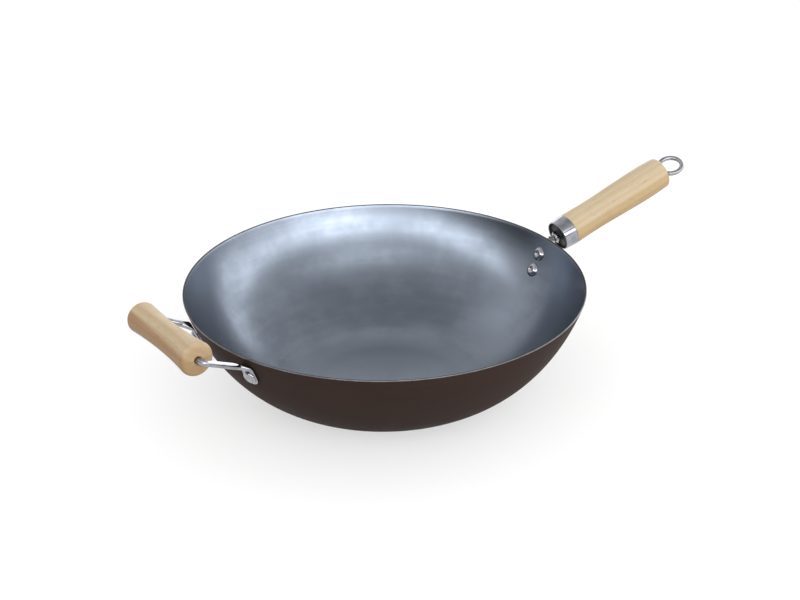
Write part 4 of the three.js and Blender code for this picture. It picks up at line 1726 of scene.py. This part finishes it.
@dataclass
class HelperRoll:
    """The turned wooden roll on the bail.

    Attributes:
        centre: middle of its axis.
        length: its length.
        near_radius: radius at the near end.
        waist_radius: radius of its waist.
        far_radius: radius at the far end.
        waist_at: place of the waist beyond the middle.
        edge: radius of its rounded ends.
        chamfer: chamfer of its bore.
        bore: radius of its bore.
        sides: faces round it.
        steps: faces along it.
        edge_steps: faces over each rounded end.
        place: the middle of the roll, with its axis along Z.
    """

    centre: Vector
    length: float = 0.100
    near_radius: float = 0.0158
    waist_radius: float = 0.0125
    far_radius: float = 0.0142
    waist_at: float = 0.006
    edge: float = 0.0046
    chamfer: float = 0.001
    bore: float = 0.0032
    sides: int = 96
    steps: int = 40
    edge_steps: int = 8
    place: Matrix = field(init=False)

    def __post_init__(self) -> None:
        """Work out the roll's place, whose own Z runs along it to the far side."""
        self.place = Matrix.Translation(self.centre) @ Matrix.Rotation(-math.pi / 2, 4, "X")

    def radius(self, y: float) -> float:
        """Return the roll's radius at a place along it."""
        far = y > self.waist_at
        end = self.far_radius if far else self.near_radius
        reach = (self.length / 2 if far else -self.length / 2) - self.waist_at
        return mixed(self.waist_radius, end, ((y - self.waist_at) / reach) ** 2)

    def build(self, wood: bpy.types.Material) -> None:
        """Build the roll.

        Args:
            wood: its finish.
        """
        half = self.length / 2
        shoulder = half - self.edge

        def rounded(y: float, rise: float) -> Profile:
            """Return the rounded edge at a shoulder, from the end face to the side."""
            return quarter_round((self.radius(y) - self.edge, y), self.edge, rise, self.edge_steps)[:-1]

        side = [mixed(-shoulder, shoulder, i / self.steps) for i in range(self.steps + 1)]
        profile = [
            (self.bore + self.chamfer, -half),
            *rounded(-shoulder, -self.edge),
            *((self.radius(y), y) for y in side),
            *reversed(rounded(shoulder, self.edge)),
            (self.bore + self.chamfer, half),
            (self.bore, half - self.chamfer),
            (self.bore, self.chamfer - half),
        ]
        rings = [turned_ring(radius, height, self.place, self.sides) for radius, height in profile]
        roll = skin("turned_roll", rings, wood, closed=True)
        seat(roll, Body.ROLL, Slot.TURNED_WOOD, "helper_grip")


@dataclass
class Bail:
    """The wire that carries the roll, flattened and riveted at both ends.

    Attributes:
        wall: the wall that its ends lie on.
        roll: the roll that turns on it.
        radius: radius of the wire.
        end_gap: clearance between the roll's end and the bail's corner.
        toe_in: how far each arm leans towards the middle.
        bend_radius: radius of its bends.
        root_depth: where an arm meets its flattened end, below the rim.
        paddle: thickness of a flattened end.
        paddle_width: width of a flattened end.
        rivet_drop: distance from the arm to the rivet.
        toe: length below the rivet.
        flare: length of arm that widens from wire to flat.
        edge: radius of a flattened end's edges.
        steps: pieces of each stretch.
        paddle_steps: pieces of a flattened end between its round and its bend.
        corner_steps: faces round each corner of the section.
        corner_y: how far each corner lies from the middle.
        spread: angle between each flattened end and the middle, round the bowl's axis.
        rivet_depth: where its rivets go, below the rim.
    """

    wall: Wall
    roll: HelperRoll
    radius: float = 0.00275
    end_gap: float = 0.00245
    toe_in: float = 0.0092
    bend_radius: float = 0.005
    root_depth: float = 0.0099
    paddle: float = 0.002
    paddle_width: float = 0.015
    rivet_drop: float = 0.0101
    toe: float = 0.008
    flare: float = 0.009
    edge: float = 0.0008
    steps: int = 14
    paddle_steps: int = 4
    corner_steps: int = 7
    corner_y: float = field(init=False)
    spread: float = field(init=False)
    rivet_depth: float = field(init=False)

    def __post_init__(self) -> None:
        """Work out where the bail turns its corners and where its flattened ends lie."""
        self.corner_y = self.roll.length / 2 + self.end_gap + self.radius
        reach = self.wall.at(self.root_depth).point.x
        self.spread = math.asin((self.corner_y - self.toe_in) / reach)
        self.rivet_depth = self.root_depth + self.rivet_drop

    def near_half(self) -> list[tuple[Stop, float, float]]:
        """Return the near half of the route: each stop, its half width and its flatness."""
        azimuth = math.pi + self.spread
        root = self.wall.plate(self.root_depth, self.paddle, azimuth)
        corner = Vector((self.roll.centre.x, -self.corner_y, self.roll.centre.z))
        arm = (corner - root.point).normalized()
        inward = Vector((0, 1, 0))
        low_bend = bend(root.point, root.along, arm, self.bend_radius, self.steps)
        grip_bend = bend(corner, arm, inward, self.bend_radius, self.steps)
        bend_depth = self.wall.height - low_bend[0].point.z
        half = self.paddle_width / 2
        round_depth = self.rivet_depth + self.toe - half
        route = []
        for i in range(1, self.steps + 1):
            angle = i / self.steps * math.pi / 2
            stop = self.wall.plate(round_depth + half * math.cos(angle), self.paddle, azimuth)
            route.append((stop, half * math.sin(angle), 1.0))
        for i in range(1, self.paddle_steps):
            depth = mixed(round_depth, bend_depth, i / self.paddle_steps)
            route.append((self.wall.plate(depth, self.paddle, azimuth), half, 1.0))
        bend_length = self.bend_radius * root.along.angle(arm)
        widened = bend_length + self.flare
        runs = [(stop, bend_length * i / self.steps) for i, stop in enumerate(low_bend)]
        for i in range(1, self.steps + 1):
            far = self.flare * i / self.steps
            runs.append((Stop(low_bend[-1].point + arm * far, arm), bend_length + far))
        for stop, run in runs:
            flatness = 1 - eased(run / widened)
            route.append((stop, mixed(self.radius, half, flatness), flatness))
        route += [(stop, self.radius, 0.0) for stop in grip_bend]
        route.append((Stop(self.roll.centre, inward), self.radius, 0.0))
        return route

    def rings(self) -> list[Ring]:
        """Return the near half's sections, each square to the route."""
        across = Matrix.Rotation(math.pi + self.spread, 3, UPRIGHT) @ Vector((0, 1, 0))
        rings = []
        for stop, half_width, flatness in self.near_half():
            across = (across - stop.along * across.dot(stop.along)).normalized()
            half_height = mixed(self.radius, self.paddle / 2, flatness)
            corner = mixed(self.radius, self.edge, flatness)
            rings.append(flat_section(stop, across, (half_width, half_height), corner, self.corner_steps))
        return rings

    def build(self, chrome: bpy.types.Material) -> None:
        """Build the bail from one half and its mirror image.

        Args:
            chrome: its finish.
        """
        near = self.rings()
        far = [[Vector((point.x, -point.y, point.z)) for point in ring] for ring in reversed(near[:-1])]
        bail = skin("wire_bail", near + far, chrome)
        seat(bail, Body.PAN, Slot.CHROME_PLATE, "helper_bail")

    def rivet_azimuths(self) -> tuple[float, float]:
        """Return the angle of the near and the far rivet round the bowl."""
        return math.pi + self.spread, math.pi - self.spread


# The studio

@dataclass(frozen=True)
class Softbox:
    """A soft rectangular lamp.

    Attributes:
        name: the lamp.
        bearing: angle to the right of the camera's view, as seen from the wok.
        elevation: angle above the floor.
        distance: distance from the wok.
        size: width and height.
        watts: its power.
    """

    name: str
    bearing: float
    elevation: float
    distance: float
    size: tuple[float, float]
    watts: float


@dataclass(frozen=True)
class Glow:
    """A stretch of the room's wall that a diffuser brightens or a flag darkens, with soft edges.

    Attributes:
        bearing: angle of its middle to the right of the camera's view, as seen from the wok.
        elevation: angle of its middle above the floor.
        reach: angles from its middle to its sides, and to its top and bottom.
        strength: brightness that it adds at its middle, below 0 for a dark flag.
    """

    bearing: float
    elevation: float
    reach: tuple[float, float]
    strength: float


@dataclass
class Studio:
    """The camera, the lamps, the floor and the room round the wok.

    Attributes:
        azimuth: direction of the camera's view, in degrees from +Y towards -X.
        elevation: angle of the camera above the floor.
        roll: lift of the right side of the picture.
        distance: distance from the camera to the middle of the wok.
        middle: height of the middle of the wok.
        aside: how far the camera stands to the right.
        above: how far the camera stands above.
        lens: focal length, in millimetres.
        sensor: width of the sensor, in millimetres.
        view_limit: how far the camera sees.
        floor_size: width of the floor.
        floor_drop: hairline between the base and the floor.
        room_white: brightness of the room's walls.
        room_dim: brightness of its ceiling.
        room_dark: brightness of its darkest corner.
        ceiling_angles: angles above the floor where the white starts to dim and where it is dimmest.
        floor_colour: colour of the floor.
        floor_roughness: roughness of the floor.
        floor_glow: light that lifts the floor to white for the eye and in mirrored views.
        lamps: the soft lamps.
        glows: the bright and dark stretches of the room's wall.
    """

    azimuth: float = -33.670
    elevation: float = 26.199
    roll: float = 0.607
    distance: float = 2.1
    middle: float = 0.060
    aside: float = 0.01339
    above: float = 0.02037
    lens: float = 106.61
    sensor: float = 36.0
    view_limit: float = 100.0
    floor_size: float = 24.0
    floor_drop: float = 0.0002
    room_white: float = 0.97
    room_dim: float = 0.55
    room_dark: float = 0.03
    ceiling_angles: tuple[float, float] = (20.0, 90.0)
    floor_colour: Colour = (0.5, 0.5, 0.5, 1)
    floor_roughness: float = 0.9
    floor_glow: float = 0.52
    lamps: tuple[Softbox, ...] = (
        Softbox("right", bearing=60, elevation=16, distance=3.0, size=(2.4, 0.7), watts=2.0),
        Softbox("front_right", bearing=140, elevation=20, distance=3.0, size=(1.6, 0.5), watts=2.0),
    )
    glows: tuple[Glow, ...] = (
        Glow(bearing=141, elevation=19, reach=(87, 10), strength=4.1),
        Glow(bearing=40, elevation=10, reach=(118, 20), strength=2.1),
        Glow(bearing=-161, elevation=26, reach=(94, 8.5), strength=6.9),
        Glow(bearing=172, elevation=42, reach=(87, 11), strength=1.35),
        Glow(bearing=-62, elevation=39, reach=(23, 26), strength=0.25),
        Glow(bearing=-112, elevation=6, reach=(60, 15), strength=-1.5),
        Glow(bearing=-140, elevation=12, reach=(30, 8), strength=-1.7),
        Glow(bearing=34, elevation=22, reach=(32, 14), strength=1.5),
        Glow(bearing=180, elevation=9, reach=(75, 8), strength=-2.2),
        Glow(bearing=68, elevation=1, reach=(34, 9), strength=-0.7),
        Glow(bearing=-165, elevation=28, reach=(42, 12), strength=-1.9),
    )

    def axes(self) -> tuple[Vector, Vector, Vector]:
        """Return the camera's right, up and backward directions before its roll."""
        turn = math.radians(self.azimuth)
        lift = math.radians(self.elevation)
        right = Vector((math.cos(turn), math.sin(turn), 0))
        back = Vector((math.sin(turn) * math.cos(lift), -math.cos(turn) * math.cos(lift), math.sin(lift)))
        return right, back.cross(right), back

    def toward(self, bearing: float, elevation: float) -> Vector:
        """Find a direction in the room.

        Args:
            bearing: degrees to the right of the camera's view.
            elevation: degrees above the floor.

        Returns:
            The direction, away from the wok.
        """
        right, _, back = self.axes()
        away = Vector((-back.x, -back.y, 0)).normalized()
        level = away * math.cos(math.radians(bearing)) + right * math.sin(math.radians(bearing))
        return level * math.cos(math.radians(elevation)) + UPRIGHT * math.sin(math.radians(elevation))

    def build_camera(self) -> None:
        """Set the camera where the photograph was taken from."""
        right, up, back = self.axes()
        target = Vector((0, 0, self.middle))
        eye = target + right * self.aside + up * self.above + back * self.distance
        roll = math.radians(self.roll)
        rolled_right = right * math.cos(roll) - up * math.sin(roll)
        rolled_up = right * math.sin(roll) + up * math.cos(roll)
        camera = bpy.data.objects.new("camera", bpy.data.cameras.new("camera"))
        camera.data.sensor_fit = "HORIZONTAL"
        camera.data.sensor_width = self.sensor
        camera.data.lens = self.lens
        camera.data.clip_end = self.view_limit
        turn = Matrix((rolled_right, rolled_up, back)).transposed()
        camera.matrix_world = Matrix.Translation(eye) @ turn.to_4x4()
        bpy.context.scene.collection.objects.link(camera)
        bpy.context.scene.camera = camera

    def build_lamps(self) -> None:
        """Hang the soft lamps, each facing the wok."""
        for lamp in self.lamps:
            toward = self.toward(lamp.bearing, lamp.elevation)
            light = bpy.data.lights.new(lamp.name, "AREA")
            light.shape = "RECTANGLE"
            light.size, light.size_y = lamp.size
            light.energy = lamp.watts
            holder = bpy.data.objects.new(lamp.name, light)
            holder.location = Vector((0, 0, self.middle)) + toward * lamp.distance
            holder.rotation_euler = toward.to_track_quat("Z", "Y").to_euler()
            bpy.context.scene.collection.objects.link(holder)

    def seen(self, graph: Graph) -> Socket:
        """Return 1 for what the camera sees, straight or in metal, and 0 for light that falls on the wok."""
        rays = graph.node("ShaderNodeLightPath").outputs
        mirrored = graph.math("MAXIMUM", rays["Is Glossy Ray"], rays["Is Transmission Ray"])
        return graph.math("MAXIMUM", rays["Is Camera Ray"], mirrored)

    def build_floor(self) -> None:
        """Lay the plain pale floor."""
        half = self.floor_size / 2
        mesh = bpy.data.meshes.new("floor")
        corners = ((-half, -half), (half, -half), (half, half), (-half, half))
        mesh.from_pydata([(x, y, -self.floor_drop) for x, y in corners], [], [(0, 1, 2, 3)])
        floor = bpy.data.objects.new("floor", mesh)
        material, graph, shader, _ = new_finish("pale_floor")
        graph.feed(shader.inputs["Base Color"], self.floor_colour)
        graph.feed(shader.inputs["Roughness"], self.floor_roughness)
        graph.feed(shader.inputs["Specular IOR Level"], 0.0)
        graph.feed(shader.inputs["Emission Color"], WHITE)
        lifted = graph.math("MULTIPLY", self.seen(graph), self.floor_glow)
        graph.feed(shader.inputs["Emission Strength"], lifted)
        mesh.materials.append(material)
        bpy.context.scene.collection.objects.link(floor)

    def build_room(self) -> None:
        """Set the room: white walls with soft bright and dark stretches, under a dimmer ceiling."""
        world = bpy.data.worlds.new("studio")
        world.use_nodes = True
        world.node_tree.nodes.clear()
        graph = Graph(world.node_tree)
        direction = graph.node("ShaderNodeTexCoord").outputs["Generated"]
        height = graph.math("ARCSINE", graph.separate(direction)["Z"])
        aside = graph.dot(direction, tuple(self.toward(90, 0)))
        ahead = graph.dot(direction, tuple(self.toward(0, 0)))
        bearing = graph.math("ARCTAN2", aside, ahead)
        walls_end, ceiling = (math.radians(angle) for angle in self.ceiling_angles)
        light = graph.span(height, walls_end, ceiling, self.room_white, self.room_dim)
        for glow in self.glows:
            wide, tall = (math.radians(angle) for angle in glow.reach)
            off = graph.math("SUBTRACT", bearing, math.radians(glow.bearing))
            turned = graph.math("DIVIDE", graph.math("WRAP", off, math.pi, -math.pi), wide)
            raised = graph.math("DIVIDE", graph.math("SUBTRACT", height, math.radians(glow.elevation)), tall)
            spread = graph.length(graph.combine(turned, raised))
            light = graph.math("ADD", light, graph.span(spread, 0.0, 1.0, glow.strength, 0.0))
        light = graph.math("MAXIMUM", light, self.room_dark)
        rays = graph.node("ShaderNodeLightPath").outputs
        shown = graph.math("MULTIPLY_ADD", rays["Is Camera Ray"], graph.math("SUBTRACT", 1.0, light), light)
        backdrop = graph.node("ShaderNodeBackground", {"Strength": shown})
        graph.feed(backdrop.inputs["Color"], WHITE)
        graph.node("ShaderNodeOutputWorld", {"Surface": backdrop.outputs[0]})
        bpy.context.scene.world = world

    def build(self) -> None:
        """Set up the studio."""
        bpy.context.scene.view_settings.view_transform = "Standard"
        self.build_camera()
        self.build_lamps()
        self.build_floor()
        self.build_room()


# How far a rivet's head is pressed into what it holds
HEAD_SINK = 0.00005


def head_seats(wall: Wall, places: Iterable[tuple[float, float]], offset: float, facing: int) -> list[Stop]:
    """Find where domed rivet heads sit.

    Args:
        wall: the bowl's wall.
        places: depth below the rim and angle round the bowl of each rivet.
        offset: distance of the heads' undersides outside the outer wall.
        facing: 1 for heads that face out of the bowl, -1 for heads that face in.

    Returns:
        The middle of each underside, and the way that its dome faces.
    """
    seats = []
    for depth, azimuth in places:
        found = wall.at(depth)
        outward = found.outward()
        seats.append(Stop(found.point + outward * offset, outward * facing).spun(azimuth))
    return seats


def main() -> None:
    """Build the studio and the wok, piece by piece."""
    logging.basicConfig(level=logging.INFO, format="%(name)s: %(message)s")
    Studio().build()
    chrome = CHROME.material()
    steel = DRAWN_STEEL.material()
    wall = Wall()
    Bowl(wall).build()

    strap = Strap(wall)
    strap.build(steel)
    handle = MainHandle(strap)
    handle.build_stud(steel)
    handle.build_nut(steel)
    handle.build_collar(chrome, SHADED_MOUTH_DISC.material())
    grip_wood = TurnedBeech("beech_grip", GRIP_BEECH, handle.place, (0.0, handle.grip_stop))
    handle.build_grip(grip_wood.material())
    HangLoop(handle).build(chrome)

    turn = frame["joints"][0]
    roll = HelperRoll(Vector(turn["pos_m"]))
    roll_wood = TurnedBeech("beech_roll", ROLL_BEECH, roll.place, (-roll.length / 2, roll.length / 2))
    roll.build(roll_wood.material())
    bail = Bail(wall, roll)
    bail.build(chrome)

    rivets = Rivets(chrome)
    tree = rivets.tree()
    inside = HEAD_SINK - wall.thickness
    main_seats = head_seats(wall, [(depth, 0.0) for depth in strap.rivet_depths], inside, -1)
    main_grip = inside * -1 + strap.thickness + 2 * wall.seat_gap
    rivets.build("main_rivets", tree, main_seats, main_grip, ["main_rivet_upper", "main_rivet_lower"])
    outside = bail.paddle + wall.seat_gap + HEAD_SINK
    helper_places = [(bail.rivet_depth, azimuth) for azimuth in bail.rivet_azimuths()]
    helper_seats = head_seats(wall, helper_places, outside, 1)
    helper_grip = outside + wall.thickness
    rivets.build("helper_rivets", tree, helper_seats, helper_grip, ["helper_rivet_near", "helper_rivet_far"])


if __name__ == "__main__":
    main()
